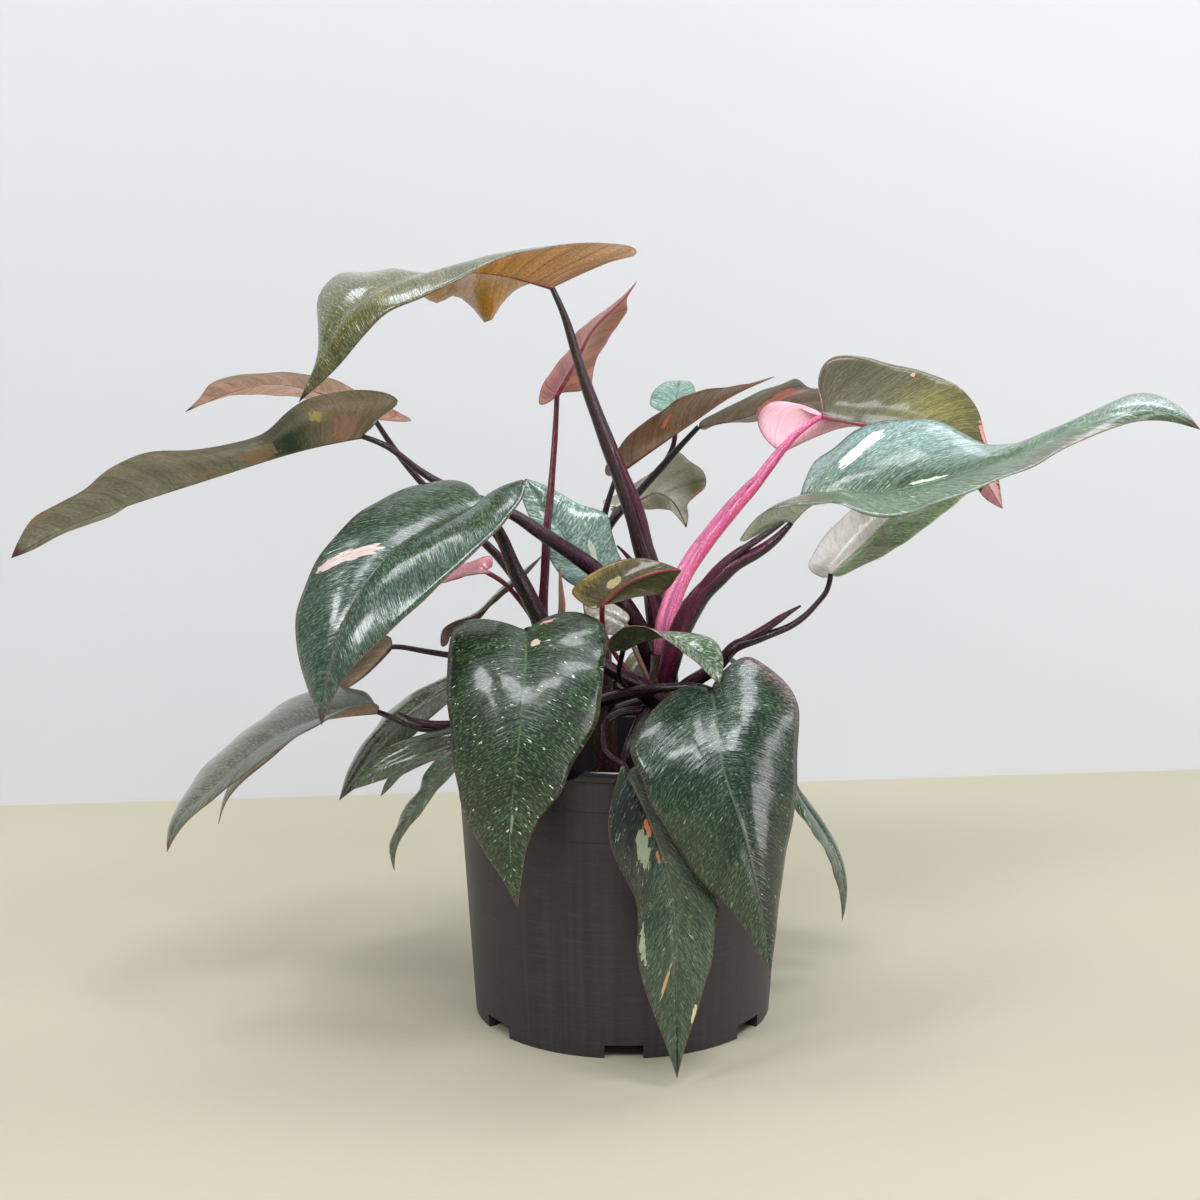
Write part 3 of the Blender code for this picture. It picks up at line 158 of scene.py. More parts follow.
# Leaves: rib from the joint to the tip, then the two margins, also from the joint to the tip
LEAVES = {}


def leaf(name, rib, plus, minus):
    LEAVES[name] = {"rib": rib, "plus": plus, "minus": minus}


leaf("top",
    [(-33, 349, 10), (-66, 356.5, 16), (-100, 353, 24), (-126, 340, 30), (-140, 318, 32),
     (-151, 296, 30)],
    [(-22, 356, -6), (-5, 362, -18), (-26, 356, -26), (-48, 349.5, -26), (-56, 341.5, -24),
     (-63, 332, -22), (-70, 340, -24), (-78, 345.5, -26), (-86, 342, -26), (-92, 345, -26),
     (-104, 357, -16), (-118, 355.8, -8), (-131.5, 355, 0), (-140.3, 345, 10), (-141.2, 331, 18),
     (-141.5, 314, 26)],
    [(-22, 354.3, 14), (-7, 360.5, 20), (5.5, 363.8, 27), (3.5, 367.8, 34), (-11.5, 370, 38),
     (-30.5, 368.7, 42), (-48.5, 364.8, 44), (-60, 360, 44), (-69, 356, 44), (-80, 350.5, 46),
     (-92, 345, 46), (-108, 339, 46), (-120, 327, 42), (-134, 311, 36)])
leaf("upright",
    [(-31, 299, -28), (-23, 313, -24), (-14, 330, -22), (0, 344, -22), (6, 352, -22)],
    [(-34, 296.5, -28), (-39, 295, -32), (-38, 303, -38), (-32, 313, -40), (-25, 320.5, -40),
     (-21, 329, -38), (-13, 336, -34), (-3, 343, -28)],
    [(-28, 300.5, -30), (-21, 301, -34), (-15.5, 304, -38), (-14, 312, -40), (-10, 320, -40),
     (-4, 331, -36), (1.5, 338, -32), (1.5, 344, -28)])
leaf("far_left",
    [(-122, 280, 20), (-150, 274, 24), (-190, 261.5, 30), (-228, 249, 35), (-262, 237, 39),
     (-288.5, 222, 42)],
    [(-114, 288, 8), (-112, 295, -2), (-128, 297, -6), (-150, 290, -6), (-175, 277, -2),
     (-200, 266, 2), (-222, 254, 12), (-240, 243, 22), (-252, 238, 28), (-265, 233, 34),
     (-278, 226, 39)],
    [(-117, 286, 26), (-111.5, 290.5, 35), (-105, 297, 46), (-112, 300.8, 56), (-127, 301.7, 61),
     (-145, 297.3, 63), (-156, 291, 63), (-168, 281.7, 63), (-184, 276.7, 62), (-202, 274.3, 60),
     (-222, 271.7, 58), (-241, 264, 56), (-252.5, 254.5, 54), (-265, 248.3, 52), (-277, 241.5, 49),
     (-284.5, 230.5, 45)])
leaf("brown_left",
    [(-116, 288, -25), (-139, 300, -28), (-163, 305, -30), (-182, 301, -31), (-204, 291.5, -30)],
    [(-118, 291, -36), (-128, 296, -44), (-145, 297, -46), (-160, 299, -46), (-176, 300, -42),
     (-190, 297, -36)],
    [(-104, 287, -24), (-98.5, 287.3, -24), (-104, 290.8, -22), (-112, 295, -20), (-121, 299.5, -18),
     (-133, 306.3, -17), (-147, 309, -16), (-165, 309.5, -16), (-184, 308, -19), (-192, 304.5, -22),
     (-197, 298, -26)])
leaf("front_left",
    [(-65, 248, 40), (-90, 237, 55), (-112, 222, 70), (-129, 198, 84), (-140, 170, 92),
     (-144, 140.5, 94)],
    [(-67, 251.5, 34), (-71.5, 256.5, 30), (-80, 259.3, 27), (-93, 258.2, 29), (-106, 253.8, 35),
     (-117, 247.8, 43), (-128, 239.8, 53), (-138.5, 229.5, 61), (-146, 219, 65), (-151.5, 206, 69),
     (-154.7, 192, 73), (-154.7, 178, 77), (-151.7, 163, 83), (-147.8, 150, 89)],
    [(-60.5, 249.5, 44), (-54.5, 254.5, 48), (-46, 259.3, 52), (-46.8, 251, 57), (-54, 242, 63),
     (-63.5, 231.5, 73), (-75.5, 219.5, 81), (-88, 207, 88), (-99.5, 197, 93), (-111.5, 186, 97),
     (-122, 175.5, 99), (-131.5, 165, 99), (-139, 152, 97)])
leaf("pink_small",
    [(-66, 216, 10), (-78, 215, 12), (-96, 206, 14)],
    [(-62, 218, 4), (-62.5, 222.5, -2), (-70, 221, -6), (-80, 217.5, -4), (-88, 212, 4)],
    [(-63, 215, 16), (-70, 214, 20), (-82, 211, 20)])
leaf("front",
    [(-46, 187, 55), (-46.5, 170, 74), (-49, 140, 90), (-53, 105, 96), (-54.5, 80, 97), (-51, 48, 96)],
    [(-52, 188.5, 50), (-60, 191.5, 46), (-70, 192.2, 44), (-77.5, 190, 48), (-81.3, 184.5, 56),
     (-83.7, 171, 66), (-84.3, 155.5, 72), (-82, 135.5, 78), (-80.3, 115.5, 82), (-75.5, 93, 86),
     (-66.3, 76, 90), (-57.5, 62, 94)],
    [(-41, 190, 52), (-33, 194.7, 48), (-23, 196.5, 46), (-13.7, 193.2, 50), (-8.8, 188.3, 54),
     (-7.5, 180, 58), (-9, 170, 68), (-10.3, 155.5, 76), (-11.7, 143, 80), (-16.7, 133, 84),
     (-24.7, 120, 88), (-30, 107, 92), (-40.5, 93, 94), (-46, 80, 96), (-49, 64, 97)])
leaf("front_right",
    [(42, 158, 62), (44, 148, 74), (48, 120, 92), (58, 88, 98), (67, 50, 98), (72, 11.5, 94)],
    [(36, 159, 62), (27, 158.5, 63), (18, 151.5, 68), (9, 141.5, 76), (4, 133, 83), (4, 125, 88),
     (9, 114, 94), (13, 102, 97), (21, 89, 99), (30, 73, 100), (40, 59.5, 102), (50, 49.5, 102),
     (62, 34, 100), (68.5, 21, 98)],
    [(45, 163, 60), (51, 170.5, 58), (59, 174, 56), (67, 170, 56), (78, 160.5, 58), (83.5, 150, 62),
     (84.5, 138, 66), (83.5, 122, 70), (83.5, 108, 74), (81, 92, 78), (79, 75, 84), (76.5, 55, 88),
     (74.5, 35, 92)])
leaf("hanging",
    [(2, 117, 86), (12, 95, 90), (22, 65, 94), (26, 35, 98), (26.5, 0, 103), (27, -40, 106)],
    [(0, 121, 86), (-3, 113, 87), (-6, 100, 88), (-7, 88, 90), (-4.5, 76, 92), (1.5, 63, 94),
     (6.5, 52, 95), (7.5, 40, 97), (7, 27, 99), (9.5, 12, 102), (14.5, -4, 104), (20.5, -20, 106),
     (24.5, -32, 107)],
    [(9, 121, 86), (20, 112, 86), (30, 95, 88), (38, 75, 91), (44, 58, 94), (47, 48, 96),
     (45.5, 42, 97), (44.5, 32, 99), (43.5, 20, 101), (40.5, 10, 102), (38, 0, 103), (35, -10, 104),
     (31, -23, 105)])
leaf("half_cream",
    [(98, 214.5, 15), (112, 228, 8), (125, 241, 2), (150, 256, -8), (168, 264, -12)],
    [(101, 213, 20), (110, 217, 24), (122, 222.5, 24), (134, 231, 18), (146, 239.5, 10), (158, 250, 0),
     (166, 258, -8)],
    [(95, 212.5, 10), (87.5, 217, 2), (89.5, 225, -8), (95, 232.5, -12), (103, 241, -15),
     (112, 249, -18), (130, 262, -20), (150, 268, -20), (162, 268, -16)])
leaf("far_right",
    [(79, 239, 25), (90, 249, 26), (120, 252.5, 22), (150, 260, 12), (185, 271, -4), (203, 280.5, -12),
     (235, 291, -26), (254, 290.5, -34), (269, 283, -40)],
    [(73, 239, 32), (62, 232.5, 44), (55, 229, 50), (59, 236, 56), (66, 243.5, 60), (76, 246.5, 64),
     (90, 247.5, 67), (100, 248.5, 70), (112, 244, 70), (122, 242.5, 68), (132, 243, 64),
     (145, 247, 56), (160, 252, 46), (175, 258.5, 34), (190, 265, 20), (202, 272.5, 8), (214, 278, -4),
     (226, 283, -14), (240, 287, -26), (254, 287, -36)],
    [(83, 246.5, 22), (85.2, 252.5, 20), (86, 261, 14), (89.2, 268.5, 6), (98.5, 274.7, 0),
     (108.7, 282.7, -4), (122, 287, -6), (145, 287.5, -8), (158.5, 282, -8), (170, 276.7, -10),
     (186.5, 277, -22), (204, 284, -34), (215, 288, -40), (226, 294.7, -44), (236, 300, -46),
     (247, 299.7, -46), (259, 293.5, -44)])
leaf("half_pink",
    [(92, 289, -10), (103, 286.5, -12), (120, 284, -14), (142, 281, -20), (162, 268, -26),
     (178, 245.5, -28)],
    [(92.5, 296, -14), (90.3, 304, -18), (91.7, 312, -22), (97, 317, -26), (109, 317.2, -30),
     (126, 313.7, -34), (141.5, 309.7, -36), (155, 303, -36), (164.3, 293.5, -36), (168.7, 280, -34),
     (174.5, 264, -30)],
    [(85, 291.5, -14), (78, 295, -20), (69.3, 296, -22), (62.3, 289, -20), (64.7, 280.5, -16),
     (74, 273, -13), (85, 280.5, -24), (96, 288, -36), (112, 291, -44), (135, 288, -48),
     (155, 276, -42), (163, 262, -38), (168, 252, -33)])
leaf("grey_right",
    [(35, 284.5, -35), (55, 289, -40), (80, 296, -48), (105, 297, -55), (128, 292, -60)],
    [(36, 287, -32), (44, 291.5, -28), (55, 297, -25), (66, 301.5, -26), (75, 305, -27),
     (80, 307, -28), (86, 303.5, -32), (98, 302, -38), (115, 300, -48)],
    [(37, 283, -38), (45, 286, -48), (58, 287, -60), (75, 287.5, -68), (95, 289, -70),
     (115, 290, -66)])
leaf("brown_right",
    [(-3, 262, -15), (15, 275, -14), (33, 287.5, -14), (50, 299, -14), (70, 308, -14)],
    [(-8, 261.5, -14), (-8.5, 265.5, -14), (-3.5, 272.5, -13), (2, 280, -10), (11, 287.7, -5),
     (19, 293.2, 0), (28, 298.3, 3), (38, 301.7, 2), (50, 303.7, -2), (60, 305, -8)],
    [(-6, 266, -22), (0, 272, -30), (14, 282, -36), (30, 292.5, -36), (46, 300.5, -30),
     (60, 305, -22)])
leaf("teal_back",
    [(-15, 212, -15), (-27, 231, -15), (-38, 248, -18), (-46, 260, -22)],
    [(-12, 211, -15), (-5, 212, -16), (-0.5, 219, -16), (-3, 226, -16), (-5.5, 235, -17),
     (-8, 243, -18), (-21, 248, -20), (-36, 256.5, -22)],
    [(-20, 208, -14), (-28, 212, -12), (-35, 222, -12), (-41, 235, -14), (-46, 246, -17),
     (-48, 254, -20)])
leaf("teal_small",
    [(23, 290, -40), (24, 298, -60), (26, 306, -86)],
    [(27, 290, -38), (33, 293, -44), (33.5, 300, -58), (31, 305.5, -76)],
    [(19, 291, -38), (13, 294, -44), (12.5, 298, -56), (15, 302.5, -68), (20, 305.5, -80)])
leaf("grey_back",
    [(-3, 246, -62), (7, 250, -62), (15, 253.5, -62), (22, 250.5, -60), (27, 243.5, -58),
     (29.5, 236.5, -57)],
    [(-8, 247.5, -62), (-10, 249, -63), (-2, 253, -62), (4, 257, -60), (12, 262, -58), (19, 268, -56),
     (25.5, 273, -54), (31, 268, -54), (37.5, 263, -54), (38.5, 256.5, -54), (33, 251, -54),
     (30, 247.5, -55), (30.5, 242, -56)],
    [(-6, 245.5, -64), (-4, 244, -68), (8, 245, -70), (20, 245.5, -70), (24.5, 242.5, -64),
     (28, 238.5, -59)])
leaf("olive_small",
    [(-10, 199, 45), (0, 208.5, 47), (12, 214, 50), (20, 216, 52), (27.5, 216, 54)],
    [(-13.5, 197.5, 44), (-18.5, 199.5, 42), (-24.5, 205.5, 40), (-21.3, 210, 40), (-12.8, 216, 40),
     (-3, 220.7, 42), (8, 222, 44), (17, 220.3, 48), (23.3, 218, 51)],
    [(-6.5, 199.8, 46), (2, 202, 46), (10, 203.8, 46), (17, 204.5, 46), (21.7, 207.7, 48),
     (25, 212.3, 52)])
leaf("twisted_small",
    [(0, 177.5, 55), (9, 182, 58), (19, 184, 62), (31, 180, 66), (40, 171, 68), (46, 160.5, 68)],
    [(-4, 176.7, 58), (-7.2, 178.5, 65), (-6, 183.8, 69), (-1, 188, 72), (5.5, 189.2, 75),
     (12, 187.5, 77), (20, 183, 78), (28, 177, 78), (35.3, 170.7, 76), (41.5, 164.5, 72)],
    [(2, 180, 50), (8, 184, 46), (18, 186, 46), (27, 186, 50), (36, 184.5, 54), (43, 182.5, 56),
     (47, 176, 60), (47.5, 168, 64)])
leaf("low_left",
    [(-117, 147, 28), (-135, 145, 30), (-150, 142, 31), (-165, 135.5, 33), (-180, 124.5, 34),
     (-198.5, 107.5, 34), (-213, 94, 32), (-220.3, 77, 30)],
    [(-119, 152, 20), (-123, 157, 8), (-130, 159.3, -1), (-140, 159.5, -5), (-151.5, 156, -6),
     (-167, 147.8, -6), (-181, 138.2, -4), (-194, 126.2, 2), (-204.8, 113.8, 8), (-213.5, 101.8, 14),
     (-219.3, 89.5, 22)],
    [(-116.5, 149.5, 34), (-119, 151, 40), (-128, 149.5, 50), (-140, 144.5, 54), (-149, 139.3, 56),
     (-160.5, 131.5, 56), (-172, 122.5, 54), (-187, 112, 48), (-200, 101, 42), (-212.5, 89.5, 36)])
leaf("low_left_behind",
    [(-110, 179, -8), (-116, 172.3, -13), (-124, 164.7, -18), (-135, 156.8, -24), (-150, 146, -28),
     (-168, 133, -30), (-181, 119, -29), (-190, 107, -27), (-195, 91, -24)],
    [(-110, 182, -14), (-116, 181, -26), (-130, 169, -40), (-145, 156, -48), (-162, 142, -48),
     (-178, 126, -42), (-189, 111, -34)],
    [(-110, 183, -6), (-112, 184.5, -5), (-118, 183, -6), (-128, 173, -12), (-137, 162, -18),
     (-150, 141, -21), (-162, 130, -21), (-174, 119, -21), (-184, 111, -22), (-191, 102, -23)])
leaf("low_a",
    [(-72, 165, 8), (-88, 157, 6), (-104, 145.5, 4), (-118, 130, 4), (-129, 114, 6), (-136.5, 103, 8)],
    [(-70, 168, 0), (-76, 169, -10), (-86, 163.5, -16), (-97, 158.5, -18), (-107, 151, -18),
     (-117, 141, -16), (-126.5, 129, -10), (-132.5, 116, -2)],
    [(-70, 161, 14), (-76, 156, 18), (-86, 149, 19), (-96, 140, 18), (-105, 131, 16), (-114, 121, 14),
     (-125, 112, 12)])
leaf("low_b",
    [(-70, 138, 42), (-88, 133, 44), (-105, 125.5, 44), (-120, 117.5, 43), (-131, 108, 42)],
    [(-68, 141, 38), (-76, 141.5, 37), (-88, 138, 38), (-100, 134.5, 38), (-112, 130, 38),
     (-122, 122, 39)],
    [(-72, 134.5, 46), (-80, 129.5, 48), (-92, 122.5, 48), (-106, 116.5, 47), (-119, 112, 44)])
leaf("low_c",
    [(-77, 130, 60), (-90, 125, 58), (-103, 120.3, 56), (-111, 114.3, 55), (-116.5, 105, 55)],
    [(-77, 133, 56), (-88, 129, 54), (-100, 124.3, 53), (-109, 119, 53), (-114, 112, 54)],
    [(-80, 127.3, 63), (-89.5, 123.5, 62), (-98, 119.7, 60), (-106, 115.5, 58), (-112, 109, 57)])
leaf("low_d",
    [(-76, 126, 72), (-88, 115, 70), (-97, 102.5, 68), (-105, 91.5, 66), (-110.5, 81, 64),
     (-112, 74, 64), (-110.5, 67.5, 64)],
    [(-77, 130, 68), (-88, 124.5, 65), (-96, 115, 62), (-98.5, 107.5, 61), (-104.5, 100, 61),
     (-109, 90, 61), (-112.7, 80, 62)],
    [(-76, 123, 75), (-82, 116, 76), (-89.5, 107.5, 74), (-97, 97, 71), (-104.3, 87.7, 68),
     (-109.3, 78.5, 66)])
leaf("low_right",
    [(82, 113, -28), (85.5, 103.5, -31), (92, 94, -35), (100.5, 80, -37), (106, 65, -37),
     (108, 52, -37), (106.8, 42, -37)],
    [(81.3, 111.5, -25), (80.8, 107, -22), (82.7, 99, -20), (88.5, 92, -19), (95, 82, -21),
     (100.8, 70.5, -25), (105, 57, -31)],
    [(83, 112.5, -32), (84.7, 108, -39), (90, 101.3, -46), (98, 90, -48), (105, 76, -45),
     (108.8, 61, -41)])
leaf("pale_back",
    [(0, 158, -16), (6, 168, -19), (12, 180, -24)],
    [(6, 156, -16), (13, 160, -17), (16, 168, -18)],
    [(-3, 160, -16), (-1, 168, -17), (4, 176, -21)])
leaf("edge_on",
    [(-82, 186, -7), (-70, 193.5, -9), (-58, 206, -11), (-46, 216, -12), (-38, 223.5, -14)],
    [(-83.5, 180.5, -2), (-86.3, 179.3, 2), (-85.7, 187, 4), (-80, 190.7, 5), (-68, 195.5, 5),
     (-57, 206, 3), (-47, 215.5, -4)],
    [(-79, 185, -13), (-70, 191, -18), (-58, 203, -20), (-46, 213.5, -18)])
leaf("pale_pink",
    [(1, 190, 20), (-8, 195, 18), (-19, 199, 14)],
    [(3, 193, 18), (0, 197, 15), (-8, 201, 13)],
    [(-1, 186, 22), (-8, 185, 22), (-15, 190, 20)])
leaf("back_left_low",
    [(-30, 180, -76), (-36, 160, -92), (-42, 125, -104), (-46, 85, -109)],
    [(-24, 184, -74), (-14, 184, -76), (-11, 165, -88), (-15, 135, -100), (-28, 105, -107)],
    [(-36, 184, -74), (-50, 184, -76), (-60, 165, -86), (-62, 135, -98), (-56, 105, -105)])
leaf("back_right_low",
    [(50, 152, -86), (52, 130, -98), (55, 95, -106), (58, 60, -109)],
    [(55, 156, -84), (65, 156, -86), (74, 138, -94), (74, 108, -101), (66, 82, -107)],
    [(43, 156, -86), (33, 154, -88), (26, 134, -96), (30, 104, -104), (44, 78, -108)])
leaf("back_left_high",
    [(-88, 232, -50), (-100, 224, -66), (-112, 205, -84), (-118, 178, -96)],
    [(-84, 237, -50), (-78, 236, -50), (-84, 222, -60), (-94, 206, -74), (-108, 190, -88)],
    [(-92, 238, -52), (-104, 244, -58), (-120, 236, -66), (-132, 214, -78), (-130, 192, -90)])
leaf("back_right_high",
    [(105, 268, -62), (116, 272, -76), (132, 269, -92), (146, 261, -107)],
    [(112, 263, -60), (122, 260, -66), (136, 257, -80), (146, 256, -95)],
    [(102, 274, -65), (106, 281, -74), (120, 282, -90), (136, 274, -101)])

# Stalks: points as above from the leaf's joint to the stem, then radii spread evenly along. The
# joint itself is left out where the stalk has its leaf's name. Trunks have plain x, y, z.
STEM_RIGHT = {
    "trunk": ([(16, -8, 75), (16, -8, 100), (16.5, -9, 130), (19, -10, 166), (19, -10, 178)],
        [8.2, 8.4, 8.5, 7.8, 6.4]),
    "top": ([(-27, 335, 6), (-21, 315, 2), (-16, 300, 0), (-9, 281, -3), (-2, 262, -5), (4, 245, -6),
        (9, 228, -6), (13, 215, -6), (16, 195, -6), (17, 176, -3), (18, 155, 4)],
        [2, 2.6, 3.4, 3.9, 4.2, 5, 5.4, 5.6, 5]),
    "top_sheath": ([(-10.5, 292, -1), (-7, 281, -2), (0, 263, -4), (7, 245, -5), (13, 222, -5)],
        [0.5, 1.6, 2.4, 2.8, 2.4]),
    "crown_sheath": ([(-3, 228, 1), (1, 224, 1), (7, 216, 0), (13, 203, -1), (16, 190, -1)],
        [0.5, 1.4, 2, 2.4, 2.4]),
    "far_left": ([(-110, 275, 19), (-95, 263.5, 18), (-86, 258, 17), (-52, 243, 12), (-40, 235, 10),
        (-25, 225, 8), (-12, 215, 6), (0, 200, 2), (8, 187, 0), (14, 172, 0), (18, 155, 4)],
        [1.6, 2, 2.6, 3.4, 4, 4.4, 4.6, 4.6]),
    "far_right": ([(71, 230.5, 24), (63.5, 225, 23), (52, 219, 22), (44.5, 212, 21), (37, 204.5, 20),
        (31, 195, 20), (26, 184, 20), (22, 170, 17), (19, 152, 9)],
        [2.4, 3.4, 4.2, 4.8, 5.2, 5, 4.6, 4.6]),
    "far_right_sheath": ([(65, 231, 24), (58, 227.5, 24), (50, 221.5, 23), (42, 213, 22),
        (33, 200, 20)], [0.6, 2, 2.6, 2.8, 2.4]),
    "half_cream": ([(96, 206, 16), (91.5, 200, 17), (86, 194, 18), (79, 189, 19), (65, 183.5, 20),
        (53, 179, 20), (46, 171, 18), (38, 165, 14), (30, 160, 11), (20, 150, 8)],
        [1.3, 1.7, 2.6, 3.2, 3.4, 3.6]),
    "half_cream_sheath": ([(84, 199, 20), (76, 194, 21), (66, 187, 21), (55, 181, 20)],
        [0.5, 1.8, 2, 1.8]),
    "front": ([(-42, 187, 47), (-25, 180, 38), (-9, 170, 31), (2, 163, 26), (12, 158, 20),
        (17, 148, 11)], [2.6, 3.3, 3.8, 4.4]),
    "hanging": ([(0, 121, 83), (-5, 124, 78), (-8.5, 128, 69), (-9.5, 135, 56), (-8, 142, 42),
        (0, 147, 28), (12, 148, 15)], [1.4, 1.9, 2.2]),
    "inner_stalk": ([(13, 150, 14), (9, 145, 22), (5, 136, 30), (1, 124, 36), (-1, 110, 38),
        (-2, 84, 38)], [2.2, 2.3, 2.3, 2, 1.8]),
    "olive_small": ([(-10, 193, 40), (-9, 186, 30), (-6, 179, 20), (0, 170, 13), (8, 160, 10),
        (15, 148, 8)], [1.2, 1.6]),
    "twisted_small": ([(-1, 173, 50), (-2, 167, 42), (-1, 162, 34), (4, 158, 24), (13, 150, 12)],
        [1.2, 1.6]),
    "pale_pink": ([(3, 184, 17), (8, 172, 14), (15, 156, 9)], [1.2, 1.4]),
    "low_right": ([(82, 118, -27), (82, 130, -26), (82, 141, -26), (78, 151, -25), (66, 156, -20),
        (45, 158, -10), (20, 150, 4)], [1.3, 1.5, 1.8, 2]),
}
PETIOLE_PINK = {
    "half_pink": ([(88, 287, -9.5), (81, 281.5, -8), (75, 275, -6.5), (68, 266, -5), (61, 256.5, -4),
        (53, 247.5, -3.5), (46, 239, -3), (38, 229, -2), (31.5, 219.5, 0), (26, 209, 3),
        (21.5, 197, 7), (19, 187, 10), (19, 176.3, 10)], [1.9, 2.6, 3.2, 3.8, 4.2, 4.5, 4.5, 4.2]),
    "pink_sheath": ([(68.5, 264, -4), (62, 260.5, -3.5), (55, 253, -3), (46, 242, -2.5),
        (36, 229, -1)], [0.5, 1.6, 2.2, 2.6, 2.4]),
}
STEM_LEFT = {
    "trunk": ([(-33, -4, 75), (-33, -4, 100), (-34, -5, 140), (-37, -6, 172), (-37, -6, 186)],
        [7.2, 7.4, 7.4, 6.6, 5]),
    "front_left": ([(-62, 243, 33), (-57, 232, 23), (-51, 216, 15), (-44, 202, 10), (-38, 188, 6),
        (-35, 170, 5)], [2.6, 3.8, 4.5, 4.8]),
    "upright": ([(-32, 280, -22), (-34, 255, -13), (-36, 235, -7), (-37, 215, -5), (-38, 196, -3),
        (-37, 178, 2)], [1.5, 1.9, 2.2, 2.6]),
    "brown_left": ([(-108, 275.5, -25), (-100, 264.5, -25), (-88, 251, -27), (-66, 230, -31),
        (-57, 220.5, -32), (-50, 211, -29), (-43, 198, -17), (-38, 180, -3)], [1.6, 2, 2.6, 3]),
    "pink_small": ([(-57, 210.5, 9), (-50, 203, 8), (-43, 193, 7), (-38, 182, 6)], [1.2, 1.4, 1.6]),
    "front_right": ([(36, 159.5, 57), (20, 159, 50), (5, 156.5, 42), (-8, 153, 34), (-20, 147, 24),
        (-31, 140, 11)], [2.4, 3.2, 3.6]),
    "low_left": ([(-111, 144.5, 28.5), (-105, 141.5, 29), (-98.5, 139, 30), (-90, 138.5, 30),
        (-80, 139.5, 30), (-65, 142.5, 24), (-48, 146, 13), (-36, 146, 5)], [1.6, 2.4, 3, 3.2]),
    "low_left_sheath": ([(-107, 146.5, 30), (-100, 143, 31), (-90, 141, 31), (-78, 141.5, 30)],
        [0.5, 1.4, 1.8, 1.6]),
    "low_left_behind": ([(-105, 178.8, -8), (-95, 177, -7), (-83, 175, -6), (-65, 172, -3),
        (-50, 165, 0), (-37, 155, 4)], [1.5, 2.2, 2.8]),
    "low_a": ([(-62, 166, 8), (-50, 163, 7), (-38, 154, 5)], [1.5, 2.2]),
    "low_b": ([(-64, 142, 40), (-52, 145, 28), (-38, 144, 8)], [1.4, 2]),
    "low_c": ([(-72, 134.5, 58), (-60, 141, 50), (-48, 144, 33), (-37, 143, 9)], [1.3, 1.8]),
    "low_d": ([(-72, 132, 69), (-62, 139.5, 62), (-50, 142, 42), (-37, 141, 11)], [1.4, 1.9]),
    "edge_on": ([(-77, 181, -7), (-65, 178, -5), (-50, 174, -1), (-37, 165, 4)], [1.2, 1.6]),
    "cataphyll": ([(-30, 218, 16), (-29.5, 208, 16), (-29, 198, 14), (-31, 186, 9), (-35, 174, 6)],
        [0.4, 1.6, 2, 2.4]),
}
STEM_BACK = {
    "trunk": ([(-8, 30, 75), (-8, 30, 100), (-8.5, 29, 135), (-9, 28, 160), (-9, 28, 172)],
        [5.8, 6, 5.8, 4.8, 3.6]),
    "grey_right": ([(28, 277, -35), (20, 268, -35), (12, 259, -34), (4, 250, -33), (-2, 244, -32),
        (-7, 237, -32), (-14, 222, -32), (-17, 205, -31), (-14, 185, -29), (-10, 160, -29)],
        [1.8, 2.2, 2.4, 2.6, 2.8]),
    "brown_right": ([(-6, 253, -18), (-9, 242, -21), (-12, 225, -24), (-14, 205, -26), (-12, 185, -27),
        (-9, 160, -28)], [1.7, 2.1, 2.5]),
    "teal_small": ([(24, 284, -43), (23, 275, -44), (18, 266, -44), (10, 257, -43), (2, 248, -41),
        (-6, 238, -39), (-13, 222, -36), (-16, 203, -33), (-12, 180, -30), (-9, 160, -29)],
        [1.2, 1.3, 1.6]),
    "grey_back": ([(-7, 238, -58), (-11, 225, -52), (-14, 205, -44), (-12, 185, -36), (-9, 162, -30)],
        [1.4, 1.8]),
    "teal_back": ([(-14, 206, -18), (-12, 194, -22), (-9, 168, -27)], [1.4, 1.8]),
    "pale_back": ([(-3, 153, -20), (-8, 146, -27)], [1.2, 1.2]),
    "back_left_low": ([(-26, 182, -69), (-20, 177, -52), (-13, 165, -37), (-9, 150, -30)], [1.6, 2.2]),
    "back_right_low": ([(52, 160, -86), (54, 169, -80), (50, 173, -70), (43, 168, -58), (35, 163, -46),
        (18, 156, -36), (-4, 148, -31)], [1.6, 2, 2.2]),
    "back_left_high": ([(-86, 234, -46), (-75, 239, -43), (-62, 235, -43), (-52, 215, -41),
        (-42, 197, -39), (-24, 176, -34), (-11, 160, -30)], [1.5, 1.9, 2.2]),
    "back_right_high": ([(98, 264, -56), (75, 240, -49), (50, 221, -43), (22, 192, -37), (4, 172, -32),
        (-6, 155, -30)], [1.7, 2, 2.4]),
}
STALKS = {"stem_right": STEM_RIGHT, "petiole_pink": PETIOLE_PINK, "stem_left": STEM_LEFT,
          "stem_back": STEM_BACK}

# Looks of the leaves: colours of the two sides, amounts of grain and of white flecks, then what
# differs from a plain leaf: quilt, the height in mm of the waves between side veins, lean, how
# far these veins run toward the tip, matt, an added roughness, and colours of midrib and edge.
# Soft tints and sharp patches are (side, v, u, half length in v, in u, colour), where v runs from
# joint to tip and u from the minus margin at -1 to the plus margin at 1. Pale halves are (side,
# sign of u, v where it ends, colour).
CREAM = (234, 226, 202)
PINK = (232, 160, 158)
DULL_TAN = (150, 126, 98)
LOOKS = {}


def look(name, top, under, grain, white, **more):
    LOOKS[name] = dict(top=top, under=under, grain=grain, white=white, **more)


